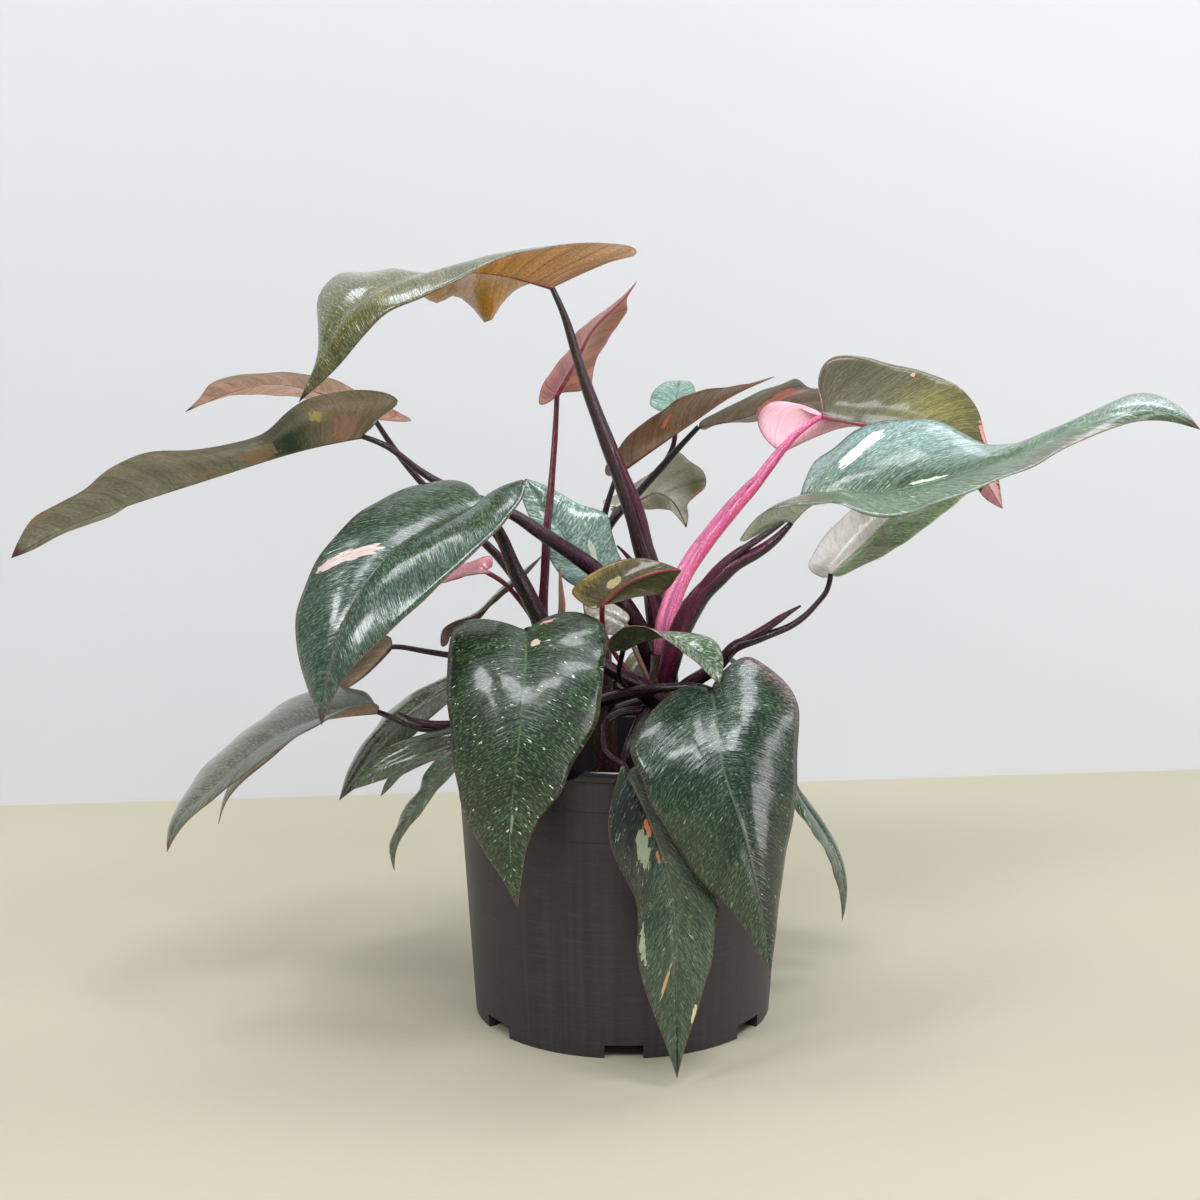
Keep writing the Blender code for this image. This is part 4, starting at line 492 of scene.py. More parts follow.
look("top", (108, 112, 82), (246, 190, 160), 0.4, 0.6, quilt=0.1, rib_under=(120, 40, 44),
    tints=[("under", 0.12, -0.8, 0.2, 0.6, (255, 204, 176)),
        ("under", 0.42, 0.6, 0.4, 1.4, (190, 134, 14)), ("top", 0.42, 0.75, 0.2, 0.5, (140, 110, 36)),
        ("under", 0.1, 0.2, 0.12, 0.3, (128, 62, 60)), ("top", 0.75, -0.4, 0.3, 0.4, (104, 98, 48))])
look("upright", (166, 100, 92), (188, 120, 102), 0.1, 0.2, rib_under=(150, 34, 60),
    tints=[("under", 0.2, 0.4, 0.4, 0.4, (150, 70, 80)),
        ("under", 0.8, 0.3, 0.25, 0.6, (130, 84, 80))])
look("far_left", (70, 88, 66), (134, 128, 110), 0.3, 0.3,
    tints=[("under", 0.1, 0.0, 0.15, 1.3, (146, 124, 92)),
        ("under", 0.33, 0.0, 0.08, 1.6, (46, 62, 44))],
    patches=[("under", 0.28, -0.45, 0.018, 0.12, (196, 172, 90)),
        ("under", 0.17, -0.2, 0.05, 0.2, (172, 132, 114)),
        ("under", 0.43, -0.18, 0.05, 0.18, DULL_TAN), ("under", 0.57, -0.12, 0.06, 0.04, DULL_TAN),
        ("under", 0.88, -0.85, 0.04, 0.12, DULL_TAN)])
look("brown_left", (246, 196, 182), (246, 196, 182), 0.2, 0.2,
    tints=[("both", 0.5, 0.5, 0.5, 0.5, (255, 206, 196))],
    patches=[("both", 0.75, -0.8, 0.06, 0.2, (206, 206, 186))])
look("front_left", (72, 92, 78), (110, 84, 72), 0.55, 0.2, rib=(74, 44, 44), quilt=0.16, lean=0.2,
    patches=[("top", 0.55, 0.52, 0.025, 0.42, (206, 182, 178))])
look("pink_small", (236, 136, 150), (226, 120, 140), 0.0, 0.2)
look("front", (34, 58, 32), (92, 74, 62), 1.0, 0.8, matt=0.2, rib=(80, 106, 68), quilt=0.16,
    patches=[("top", 0.12, -0.48, 0.012, 0.13, (206, 150, 146)),
        ("top", 0.2, -0.13, 0.018, 0.07, (206, 182, 164)),
        ("top", 0.79, -0.06, 0.025, 0.05, (116, 142, 110)), ("top", 0.43, 0.62, 0.006, 0.04, CREAM)])
look("front_right", (42, 64, 46), (96, 80, 74), 0.7, 0.3, lean=0.18, rib=(86, 98, 74), quilt=0.3,
    tints=[("top", 0.2, -1.0, 0.12, 0.14, (150, 125, 128)),
        # The dark tint on the lower, minus half of the top, at v 0.75, is painted shade where that part hangs steeply
        # down
        ("top", 0.75, -0.5, 0.25, 0.6, (24, 42, 32))])
look("hanging", (66, 84, 66), (70, 74, 56), 0.45, 0.3, quilt=0.3,
    tints=[("top", 0.2, 0.4, 0.24, 1.4, (12, 24, 22)), ("top", 0.96, 0.0, 0.05, 1.2, (32, 26, 28))],
    patches=[("top", 0.31, 0.1, 0.035, 0.06, (196, 112, 62)),
        ("top", 0.42, 0.12, 0.02, 0.04, (186, 112, 70)),
        ("top", 0.35, 0.36, 0.05, 0.17, (132, 142, 116)),
        ("top", 0.58, 0.85, 0.07, 0.07, (150, 160, 130)),
        ("top", 0.74, 0.4, 0.009, 0.28, (186, 146, 104)),
        ("top", 0.8, -0.9, 0.03, 0.08, (206, 190, 160))])
look("half_cream", (196, 222, 182), (120, 120, 96), 0.35, 0.7, edge=(214, 190, 180),
    rib=(216, 180, 170),
    halves=[("top", -1, 0.72, (255, 253, 246))],
    patches=[("top", 0.62, 0.4, 0.03, 0.15, CREAM)])
look("far_right", (88, 114, 86), (166, 172, 160), 0.5, 0.8, quilt=0.16, lean=0.3, edge=(90, 70, 66),
    rib=(112, 128, 104),
    tints=[("top", 0.91, -0.5, 0.08, 0.5, (170, 186, 180)),
        # The pale bluish tint on the minus half of the top, at v 0.36, is a painted sheen
        ("top", 0.36, -0.75, 0.36, 0.4, (152, 180, 180)),
        ("top", 0.77, 0.9, 0.14, 0.3, (134, 124, 110))],
    patches=[("top", 0.235, -0.52, 0.022, 0.16, (240, 238, 228)),
        ("top", 0.265, -0.72, 0.022, 0.13, (240, 238, 228)),
        ("top", 0.45, -0.07, 0.05, 0.035, (240, 238, 228))])
look("half_pink", (226, 144, 154), (74, 68, 40), 0.5, 0.1, quilt=0.2, lean=0.34, matt=0.15,
    rib_under=(150, 50, 78),
    tints=[("under", 0.6, 0.6, 0.15, 0.4, (118, 112, 50))],
    halves=[("under", -1, 0.5, (252, 192, 206))],
    patches=[("top", 0.14, -0.6, 0.3, 0.9, (252, 192, 206)),
        ("both", 1.0, 0.0, 0.16, 4.0, (255, 188, 196)),
        ("under", 0.76, 0.97, 0.05, 0.07, (232, 148, 140)),
        ("under", 0.45, 0.92, 0.01, 0.05, (222, 150, 130)),
        ("under", 0.45, 0.12, 0.012, 0.04, (222, 140, 130))])
look("grey_right", (120, 140, 116), (150, 136, 122), 0.3, 0.2,
    tints=[("under", 0.5, 0.95, 0.5, 0.25, (150, 184, 168))],
    patches=[("under", 0.5, 0.5, 0.05, 0.5, (252, 164, 152))])
look("brown_right", (108, 100, 80), (128, 96, 76), 0.3, 0.1,
    patches=[("under", 0.48, 0.45, 0.026, 0.16, (216, 104, 74))])
look("teal_back", (176, 206, 198), (170, 200, 188), 0.4, 0.7, edge=(90, 110, 98),
    tints=[("both", 0.95, 0.0, 0.16, 1.2, (66, 104, 74))],
    patches=[("both", 0.7, -0.3, 0.06, 0.16, (222, 232, 222)),
        ("both", 0.35, 0.4, 0.07, 0.08, (222, 232, 222))])
look("teal_small", (110, 158, 138), (110, 158, 138), 0.5, 0.4)
look("grey_back", (232, 230, 216), (226, 222, 208), 0.15, 0.2,
    tints=[("both", 0.75, 0.7, 0.1, 0.25, (160, 168, 112))],
    patches=[("both", 0.8, 0.9, 0.04, 0.12, (232, 140, 132))])
look("olive_small", (104, 100, 50), (70, 62, 26), 0.5, 0.2, matt=0.12, rib=(132, 36, 52),
    rib_under=(140, 36, 56),
    tints=[("under", 0.3, 0.95, 0.35, 0.2, (132, 110, 40)),
        ("under", 0.75, -0.3, 0.25, 0.5, (78, 74, 36))],
    patches=[("under", 0.42, 0.3, 0.075, 0.15, (172, 152, 104))])
look("twisted_small", (112, 132, 110), (58, 66, 44), 0.8, 0.7)
look("low_left", (104, 106, 90), (158, 132, 116), 0.35, 0.2, lean=0.3,
    tints=[("top", 0.15, 0.0, 0.2, 2.0, (58, 78, 54))])
look("low_left_behind", (128, 120, 96), (150, 128, 110), 0.3, 0.1)
look("low_right", (62, 86, 64), (96, 98, 78), 0.7, 0.5)
look("pale_back", (206, 196, 176), (206, 186, 170), 0.1, 0.1)
look("edge_on", (96, 118, 92), (150, 120, 110), 0.4, 0.2,
    patches=[("top", 0.1, 0.3, 0.1, 0.8, (214, 170, 150))])
look("pale_pink", (206, 196, 188), (206, 186, 180), 0.2, 0.2)
look("back_left_high", (56, 78, 58), (110, 92, 76), 0.7, 0.4,
    patches=[("top", 0.5, 0.5, 0.04, 0.4, PINK)])
PLAIN_LOOK = dict(top=(92, 106, 86), under=(118, 106, 92), grain=0.4, white=0.3)
RIB_TOP = (96, 92, 72)
RIB_UNDER = (96, 44, 46)
EDGE = (116, 74, 68)
TIP = (62, 24, 34)
BROWN_LEAVES = ("top", "upright", "brown_left", "brown_right", "grey_right", "olive_small",
                "grey_back", "half_pink")
LEAF_SLOTS = {name: "leaf_underside" for name in BROWN_LEAVES}
LEAF_SLOTS.update(half_cream="leaf_cream", pink_small="leaf_pink", pale_pink="leaf_pink")

# Relief of the leaves: rows and columns of a half blade, then millimetres and shares
ROWS = 64
COLS = 15
CURVE_STEPS = 240
HALF_BLADE = 0.3
BOW = 0.1
RIDGE_WIDE = 1.5
VEIN_STEP = 13.0
VEIN_LEAN = 0.14
PATCH_LEAN = 0.1
QUILT_HIGH = 0.12
WAVE_HIGH = 0.8
CREASE_DEEP = 0.75
CREASE_WIDE = 0.14

# Looks of the stalks: skin, channel on the upper side, and amount of pale speckles
STALK_LOOKS = {
    "half_pink": ((255, 92, 150), (255, 138, 184), 1.0),
    "pink_sheath": ((255, 102, 158), (255, 138, 184), 1.0),
    "upright": ((84, 22, 38), (108, 30, 50), 0.1),
    "top": ((40, 19, 28), (60, 26, 40), 0.1),
    "far_right": ((36, 16, 27), (104, 26, 62), 0.12),
    "cataphyll": ((176, 136, 104), (190, 150, 120), 0.1),
    "trunk": ((84, 62, 50), (84, 62, 50), 0.3),
    "pink_small": ((176, 70, 92), (190, 86, 110), 0.3),
    "olive_small": ((150, 60, 66), (170, 80, 84), 0.2),
    "pale_pink": ((190, 156, 130), (200, 170, 150), 0.1),
}
DARK_STALK = ((34, 19, 29), (60, 21, 40), 0.1)
SHEATH_LOOK = ((40, 17, 28), (96, 26, 56), 0.1)

# Relief of the stalks: the channel and its dent run along the upper side
JOINT_RADIUS = 1.25
THICK_STALK = 3
RING_GAP = 2.2
STALK_UP = np.array([0.0, -0.6, 1.0])
CHANNEL_FROM = 0.35
CHANNEL_SOFT = 0.5
CHANNEL_FADE = 12
DENT_DEEP = 0.16
DENT_WIDE = 0.45
LUMPS = 0.025

# Soil: rings of its top as shares of its radius, and the loose bark
SOIL_SIDES = 72
SOIL_RINGS = (0.97, 0.92, 0.85, 0.77, 0.68, 0.58, 0.48, 0.37, 0.26, 0.14)
SOIL_TONE = (52, 40, 34)
BARK_BITS = 620
BARK_TONES = ((70, 50, 38), (92, 66, 46), (46, 34, 28), (112, 84, 60), (176, 166, 150))

# Stage in metres: the wall runs a little askew, as it is seen
FLOOR_TONES = ((0.4, 0.365, 0.272), (0.42, 0.385, 0.287))
WALL_TONES = ((0.585, 0.59, 0.615), (0.605, 0.61, 0.635))
HALF_STAGE = 4
WALL_AT = 0.365
WALL_SLOPE = 0.105 * HALF_STAGE
WALL_HIGH = 3
LENS = 78
SENSOR = 36
LOOK_DOWN = 12.6
WORLD_COLOUR = (0.86, 0.9, 0.96, 1)
WORLD_STRENGTH = 0.38

# Lights: name, place, size, power in watts, colour
LIGHT_TARGET = (0, 0, 0.2)
LIGHTS = (
    ("front", (0.1, -1.55, 2.1), (1.5, 0.45), 34, (0.95, 0.98, 1.0)),
    ("key", (-1.6, -1.35, 1.75), (0.65, 0.65), 24, (0.98, 0.98, 1.0)),
    ("right", (1.05, -0.85, 2.45), (0.8, 0.8), 25, (0.94, 0.97, 1.0)),
    ("left", (-0.5, 0.24, 1.35), (0.9, 0.25), 8, (0.94, 0.97, 1.0)),
    ("rear", (0.7, 0.3, 1.05), (0.3, 0.6), 5, (0.92, 0.96, 1.0)),
    ("low", (1.7, -0.7, 0.3), (0.9, 0.7), 10, (1.0, 0.99, 0.97)),
)


def sighted(across, up, nearer):
    seen = np.array([across, 0.0, up])
    return seen + (EYE - seen) * (nearer / -EYE[1])


def unit(v):
    return v / np.maximum(np.linalg.norm(v, axis=-1, keepdims=True), 1e-12)


def smooth(points, count):
    """count + 1 points, evenly spaced along a smooth curve through the points"""
    p = np.asarray(points, float)
    step = np.sqrt(np.linalg.norm(np.diff(p, axis=0), axis=1))
    d = np.diff(p, axis=0) / step[:, None]
    slope = np.empty_like(p)
    if len(p) > 2:
        before, after = step[:-1, None], step[1:, None]
        slope[1:-1] = (d[:-1] * after + d[1:] * before) / (before + after)
        slope[0] = 1.5 * d[0] - 0.5 * slope[1]
        slope[-1] = 1.5 * d[-1] - 0.5 * slope[-2]
    else:
        slope[:] = d[0]
    fine = []
    t = np.linspace(0, 1, 24, endpoint=False)[:, None]
    for i in range(len(p) - 1):
        fine.append((2 * t**3 - 3 * t**2 + 1) * p[i] + (3 * t**2 - 2 * t**3) * p[i + 1]
                    + (t**3 - 2 * t**2 + t) * step[i] * slope[i]
                    + (t**3 - t**2) * step[i] * slope[i + 1])
    fine = np.concatenate(fine + [p[-1:]])
    run = np.concatenate([[0], np.cumsum(np.linalg.norm(np.diff(fine, axis=0), axis=1))])
    want = np.linspace(0, run[-1], count + 1)
    return np.stack([np.interp(want, run, fine[:, k]) for k in range(3)], 1)


def linear(colour):
    c = np.asarray(colour, float) / 255
    return np.where(c <= 0.04045, c / 12.92, ((c + 0.055) / 1.055) ** 2.4)


def spread(colour, count):
    """The same colour for a number of points"""
    return np.broadcast_to(linear(colour), (count, 3))


def shade(values, colour, where):
    return values * (1 - where[..., None]) + np.asarray(colour) * where[..., None]


def ring_angles(count):
    return np.arange(count) * 2 * math.pi / count


# Objects
def place_object(name, data):
    made = bpy.data.objects.new(name, data)
    bpy.context.scene.collection.objects.link(made)
    return made


def add_mesh(name, points, faces, scale=MM):
    mesh = bpy.data.meshes.new(name)
    mesh.from_pydata((np.asarray(points) * scale).tolist(), [], faces)
    return place_object(name, mesh)


def soften(mesh, sharp):
    """Smooth shading, with edges kept where they turn by more than sharp degrees"""
    mesh.polygons.foreach_set("use_smooth", [True] * len(mesh.polygons))
    if sharp:
        mesh.set_sharp_from_angle(angle=math.radians(sharp))


def make_piece(name, points, faces, values, sharp=None):
    piece = add_mesh(name, points, faces)
    for label, rows in values.items():
        made = piece.data.attributes.new(label, "FLOAT_VECTOR", "POINT")
        made.data.foreach_set("vector", np.ascontiguousarray(rows, np.float32).ravel())
    soften(piece.data, sharp)
    piece.data.update()
    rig.ride(piece, "root")
    return piece


# Leaves, with u from the minus margin at -1 to the plus margin at 1, v from joint to tip
def pick(curve, share):
    """Points of an evenly spaced curve at shares of its length"""
    at = np.asarray(share) * (len(curve) - 1)
    return np.stack([np.interp(at, np.arange(len(curve)), curve[:, k]) for k in range(3)], 1)


def vein_place(u, v, lean):
    """Place along the rib where the side vein through (u, v) leaves it"""
    return v - lean * np.abs(u) ** 1.3 * (1 - v)


def fine_blade(data, seed, quilt, lean):
    """Middle surface and its coordinates, rows from joint to tip, minus to plus margin"""
    v = np.linspace(0, 1, ROWS + 1)
    u = (np.linspace(0, 1, COLS + 1) ** 1.35)[None, :, None]
    column = v[:, None, None]
    fade = np.sin(column * math.pi) ** 0.5
    rib_points = [sighted(*p) for p in data["rib"]]
    rib = pick(smooth(rib_points, CURVE_STEPS), v**1.5)
    tangent = unit(np.gradient(rib, axis=0))
    reach = np.linalg.norm(np.diff(rib, axis=0), axis=1).sum()
    turn = math.pi * vein_place(u, column, lean) * max(4, round(reach / VEIN_STEP))
    ripple = quilt * (np.abs(np.sin(turn + seed)) - 0.5) * np.sin(u * math.pi) ** 0.7
    arch = u * (1 - u) * (1 - 0.4 * u) * (1 - CREASE_DEEP * np.exp(-(u / CREASE_WIDE) ** 2))
    halves = []
    for side, key in ((-1, "minus"), (1, "plus")):
        path = [rib_points[0]] + [sighted(*p) for p in data[key]] + [rib_points[-1]]
        across = pick(smooth(path, CURVE_STEPS), v**0.95) - rib
        normal = (unit(np.cross(across, tangent)) * side)[:, None, :]
        wide = np.linalg.norm(across, axis=1)[:, None, None]
        # A long and a short wave of the margin
        wave = np.sin(column * 17 + seed * 1.7 + side) * u**3
        wave = wave + 0.5 * np.sin(column * 41 + seed * 2.9 - side) * u**4
        wave = wave * np.minimum(wide * 0.025, WAVE_HIGH) * fade
        lift = ripple * np.minimum(wide / 20, 1) * fade
        halves.append(rib[:, None, :] + across[:, None, :] * u
                      + normal * wide * BOW * 4 * arch + normal * (wave + lift))
    sheet = np.concatenate([halves[0][:, :0:-1], halves[1]], axis=1)
    u = u[0, :, 0]
    u = np.broadcast_to(np.concatenate([-u[:0:-1], u]), sheet.shape[:2])
    return sheet, u, np.broadcast_to(v[:, None], u.shape)


def sheet_normals(sheet):
    normal = unit(np.cross(np.gradient(sheet, axis=1), np.gradient(sheet, axis=0)))
    normal[0] = unit(normal[1].mean(axis=0))
    normal[-1] = unit(normal[-2].mean(axis=0))
    return normal


def grid_faces(width, flip, start):
    """Faces of one side; the joint and the tip are single points"""
    def number(i, k):
        inside = 1 + (i - 1) * width + k
        return start + (min(inside, 1 + (ROWS - 1) * width) if i else 0)

    faces = []
    for i in range(ROWS):
        for k in range(width - 1):
            face = [number(i, k), number(i, k + 1), number(i + 1, k + 1), number(i + 1, k)]
            face = [n for m, n in enumerate(face) if n != face[m - 1]]
            faces.append(tuple(face[::-1]) if flip else tuple(face))
    return faces


def zone(v, u, centre_v, centre_u, half_v, half_u):
    """Distance from the middle of a patch, which leans along the side veins"""
    lean = v - centre_v - PATCH_LEAN * (np.abs(u) - abs(centre_u))
    return np.sqrt((lean / half_v) ** 2 + ((u - centre_u) / half_u) ** 2)


def colour_side(side, look, u, v):
    """Tone, paint of the sectors, and the field that is above one half inside a sector"""
    tone = np.broadcast_to(linear(look[side]), (*u.shape, 3))
    paint = np.broadcast_to(linear(CREAM), tone.shape)
    field = np.zeros_like(u)
    sectors = []
    for on, *where, tint in look.get("tints", []):
        if on in (side, "both"):
            tone = shade(tone, linear(tint), np.exp(-zone(v, u, *where) ** 2))
    for on, *where, tint in look.get("patches", []):
        if on in (side, "both"):
            sectors.append((1 - 0.5 * zone(v, u, *where), tint))
    for on, turn, end, tint in look.get("halves", []):
        if on == side:
            sectors.append((np.where(u * turn > 0, np.clip(0.5 + 8 * (end - v), 0, 1), 0), tint))
    for level, tint in sectors:
        paint = np.where((level > field)[..., None], linear(tint), paint)
        field = np.maximum(field, level)
    return tone, paint, field


def blade_piece(name, data, seed, look):
    lean = look.get("lean", VEIN_LEAN)
    sheet, u, v = fine_blade(data, seed, look.get("quilt", QUILT_HIGH), lean)
    width = sheet.shape[1]
    steps = np.linalg.norm(np.diff(sheet, axis=1), axis=2)
    run = np.concatenate([np.zeros((ROWS + 1, 1)), np.cumsum(steps, axis=1)], axis=1)
    across = run - run[:, COLS:COLS + 1]
    from_margin = np.minimum(run, run[:, -1:] - run)
    long = np.linalg.norm(np.diff(sheet[:, 0], axis=0), axis=1).sum()
    normal = sheet_normals(sheet)
    keep = np.concatenate([[COLS], np.arange(width, ROWS * width), [ROWS * width + COLS]])
    count = len(keep)
    ridge = np.exp(-(across / RIDGE_WIDE) ** 2) * (1 - v) ** 0.6
    thin = 0.45 + 0.55 * np.clip(from_margin / 3, 0, 1)
    points = []
    labels = ("grain", "place", "mark", "form", "tone", "patch", "rib", "edge")
    values = {label: [] for label in labels}
    # Side, direction, depth of the midrib, shares of grain and of flecks, strength of side veins
    for side, sign, sunk, share, speck, veins, rib in (
            ("top", 1, 0.35, 1, 1, 0.25, look.get("rib", RIB_TOP)),
            ("under", -1, 0.8, 0.6, 0.5, 0.6, look.get("rib_under", RIB_UNDER))):
        lift = HALF_BLADE * thin * sign - ridge * sunk
        points.append((sheet + normal * lift[..., None]).reshape(-1, 3)[keep])
        tone, paint, field = colour_side(side, look, u, v)
        flat = np.ones_like(u)
        fields = (
            np.stack((across, vein_place(u, v, lean) * long, flat * (seed * 13.7)), -1),
            np.stack((v, np.abs(across), from_margin), -1),
            np.stack((field, flat * (look["grain"] * share), flat * (look["white"] * speck)), -1),
            np.stack((flat * veins, flat * (side == "under"), flat * look.get("matt", 0)), -1),
            tone,
            paint,
            np.broadcast_to(linear(rib), tone.shape),
            np.broadcast_to(linear(look.get("edge", EDGE)), tone.shape),
        )
        for label, rows in zip(labels, fields):
            values[label].append(rows.reshape(-1, 3)[keep])
    faces = grid_faces(width, False, 0) + grid_faces(width, True, count)
    edge = [0] + [1 + (i - 1) * width for i in range(1, ROWS)] + [count - 1]
    other = [0] + [i * width for i in range(1, ROWS)] + [count - 1]
    for ring, turn in ((edge, 1), (other, -1)):
        for a, b in zip(ring, ring[1:]):
            faces.append((a, b, b + count, a + count)[::turn])
    values = {label: np.concatenate(rows) for label, rows in values.items()}
    return make_piece(f"{name}_blade", np.concatenate(points), faces, values)


# Stalks
def stalk_tube(path, radii, sides, look, seed):
    length = np.linalg.norm(np.diff(np.asarray(path, float), axis=0), axis=1).sum()
    rings = max(6, int(round(length / RING_GAP)))
    path = smooth(path, rings)
    tangent = unit(np.gradient(path, axis=0))
    radius = np.interp(np.linspace(0, 1, rings + 1), np.linspace(0, 1, len(radii)), radii)
    along = np.concatenate([[0], np.cumsum(np.linalg.norm(np.diff(path, axis=0), axis=1))])
    angles = ring_angles(sides)
    from_top = np.mod(angles + math.pi, 2 * math.pi) - math.pi
    dent = 1 - DENT_DEEP * np.exp(-(from_top / DENT_WIDE) ** 2)
    skin, channel, specks = look
    upper = np.clip((np.cos(angles) - CHANNEL_FROM) / CHANNEL_SOFT, 0, 1)
    vertices, grain, tone = [], [], []
    for i in range(rings + 1):
        up = unit(STALK_UP - np.dot(STALK_UP, tangent[i]) * tangent[i])
        side = np.cross(tangent[i], up)
        reach = radius[i] * dent * (1 + LUMPS * math.sin(along[i] * 0.23 + seed))
        vertices.append(path[i] + reach[:, None] * (np.cos(angles)[:, None] * up
                                                    + np.sin(angles)[:, None] * side))
        grain.append(np.stack([angles * radius[i], np.full(sides, along[i]),
                               np.full(sides, seed * 7.3)], 1))
        shown = upper * min(1, along[i] / CHANNEL_FADE)
        tone.append(shade(spread(skin, sides), linear(channel), shown))
    faces = []
    for i in range(rings):
        for k in range(sides):
            a, b = i * sides + k, i * sides + (k + 1) % sides
            faces.append((a, b, b + sides, a + sides))
    faces.append(tuple(range(sides))[::-1])
    faces.append(tuple(rings * sides + k for k in range(sides)))
    mark = np.full((sides * (rings + 1), 3), (specks, 0, 0))
    return faces, np.concatenate(vertices), np.concatenate(grain), np.concatenate(tone), mark


def stalk_piece(stem, parts):
    faces = []
    columns = [[], [], [], []]
    start = 0
    for seed, (name, (path, radii)) in enumerate(parts.items(), 1):
        path = [np.array(p, float) if name == "trunk" else sighted(*p) for p in path]
        if name in LEAVES:
            path = [sighted(*LEAVES[name]["rib"][0])] + path
            radii = [JOINT_RADIUS] + radii
        look = STALK_LOOKS.get(name, SHEATH_LOOK if "sheath" in name else DARK_STALK)
        sides = 18 if max(radii) > THICK_STALK else 12
        tube, *rows = stalk_tube(path, radii, sides, look, seed)
        faces += [tuple(n + start for n in face) for face in tube]
        for column, part in zip(columns, rows):
            column.append(part)
        start += len(rows[0])
    points, grain, tone, mark = (np.concatenate(column) for column in columns)
    return make_piece(f"{stem}_skin", points, faces,
                      {"grain": grain, "tone": tone, "mark": mark}, sharp=60)


# Pot
def outer_radius(z):
    return POT_RADIUS_AT_FOOT + POT_FLARE * z


def pot_profile():
    """Outline of the pot from the middle of its foot, over the rim and down the inside"""
    wall, ring = POT_WALL, RING_STEP
    low, high, rim = RING_LOW, RING_HIGH, RIM_LOW
    foot = [(FLOOR_LOW, -wall - 2.0, 0), (0, -wall - 2.0, 0), (0, -0.4, 0), (0, 0, 0.4)]
    side = [(low, -0.05, -0.8), (low, 0, 0), (low, ring, 0.5), (low, ring, 1.2),
            (high, ring, -0.6), (high, ring, 0), (high, 2 * ring, 0.5), (high, 2 * ring, 1.2),
            (rim, 2 * ring, -0.5), (rim, 2 * ring + 0.2, 0)]
    lip = [(0.6, rim + 0.1), (0.15, rim + 0.5), (0, rim + 1.2), (0.1, POT_TOP - 2.4),
           (0.3, POT_TOP - 1.5), (0.6, POT_TOP - 0.8), (1.0, POT_TOP - 0.25), (1.5, POT_TOP),
           (1.9, POT_TOP - 0.1), (2.3, POT_TOP - 0.5), (2.6, POT_TOP - 1.3)]
    inner = outer_radius(high) + 2 * ring - wall
    inside = [(0.5, 9), (0.1, 8.4), (0.1, 3), (-0.4, 2.4), (-0.5, 0)]
    return [(0, FLOOR_LOW), *[(outer_radius(z) + out, z + up) for z, out, up in foot + side],
            *[(RIM_RADIUS - inward, z) for inward, z in lip],
            (outer_radius(rim) + 2 * ring - wall, rim - 2),
            *[(inner + out, high + up) for out, up in inside],
            (outer_radius(FLOOR_TOP) - wall, FLOOR_TOP), (0, FLOOR_TOP)]


def lathe_mesh(profile, sides):
    """profile: (radius, z) points, counterclockwise in the half plane, ends on the axis"""
    vertices = []
    rows = []
    for radius, z in profile:
        if radius == 0:
            rows.append([len(vertices)])
            vertices.append((0.0, 0.0, z))
            continue
        rows.append(list(range(len(vertices), len(vertices) + sides)))
        for k in range(sides):
            angle = 2 * math.pi * (k + 0.5) / sides
            vertices.append((radius * math.cos(angle), radius * math.sin(angle), z))
    faces = []
    for low, high in zip(rows, rows[1:]):
        for k in range(sides):
            a, b = low[k % len(low)], low[(k + 1) % len(low)]
            d, c = high[k % len(high)], high[(k + 1) % len(high)]
            face = (a, b, c, d) if a != b else (a, c, d)
            faces.append(face if c != d else (a, b, c))
    return np.array(vertices), faces


def prism(name, ring, low, high):
    """Upright block over a ring of (x, y) points, counterclockwise"""
    count = len(ring)
    points = [(x, y, z) for z in (low, high) for x, y in ring]
    faces = [(k, (k + 1) % count, count + (k + 1) % count, count + k) for k in range(count)]
    faces += [tuple(range(count))[::-1], tuple(range(count, 2 * count))]
    return add_mesh(name, points, faces)


def pot_piece():
    pot = add_mesh("pot_shell", *lathe_mesh(pot_profile(), POT_SIDES))
    cutters = []
    for n, degrees in enumerate(NOTCH_ANGLES):
        angle = math.radians(degrees)
        out = np.array([math.cos(angle), math.sin(angle)])
        along = np.array([-math.sin(angle), math.cos(angle)]) * NOTCH_WIDE / 2
        inner, outer = out * NOTCH_FROM, out * NOTCH_TO
        ring = [inner - along, outer - along, outer + along, inner + along]
        cutters.append(prism(f"cut_{n}", ring, -2.0, FOOT_HIGH - 0.4))
    for n in range(DRAINS):
        angle = 2 * math.pi * (n + 0.5) / DRAINS
        ring = [(DRAIN_AT * math.cos(angle) + DRAIN_RADIUS * math.cos(a),
                 DRAIN_AT * math.sin(angle) + DRAIN_RADIUS * math.sin(a)) for a in ring_angles(24)]
        cutters.append(prism(f"drain_{n}", ring, FLOOR_LOW - 3, FLOOR_TOP + 3))
    for cutter in cutters:
        change = pot.modifiers.new(cutter.name, "BOOLEAN")
        change.operation = "DIFFERENCE"
        change.solver = "EXACT"
        change.object = cutter
    bpy.context.view_layer.update()
    graph = bpy.context.evaluated_depsgraph_get()
    pot.data = bpy.data.meshes.new_from_object(pot.evaluated_get(graph))
    pot.modifiers.clear()
    for cutter in cutters:
        bpy.data.objects.remove(cutter)
    soften(pot.data, 25)
    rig.ride(pot, "root")
    return pot


# Soil
def soil_height(x, y):
    """Low swells of the soil's top"""
    return 1.3 * math.sin(x * 0.21 + 1.0) * math.cos(y * 0.17)


def bark_bit():
    """Corners and faces of one faceted bit of bark, two rings of five between two ends"""
    rings = [(math.cos(a), math.sin(a), z) for z, turn in ((-0.45, 0.0), (0.45, 0.6))
             for a in ring_angles(5) + turn]
    faces = [(0, 1 + (k + 1) % 5, 1 + k) for k in range(5)]
    for k in range(5):
        a, b, c, d = 1 + k, 1 + (k + 1) % 5, 6 + (k + 1) % 5, 6 + k
        faces += [(a, b, d), (b, c, d), (d, c, 11)]
    return np.array([(0, 0, -1)] + rings + [(0, 0, 1)]), faces


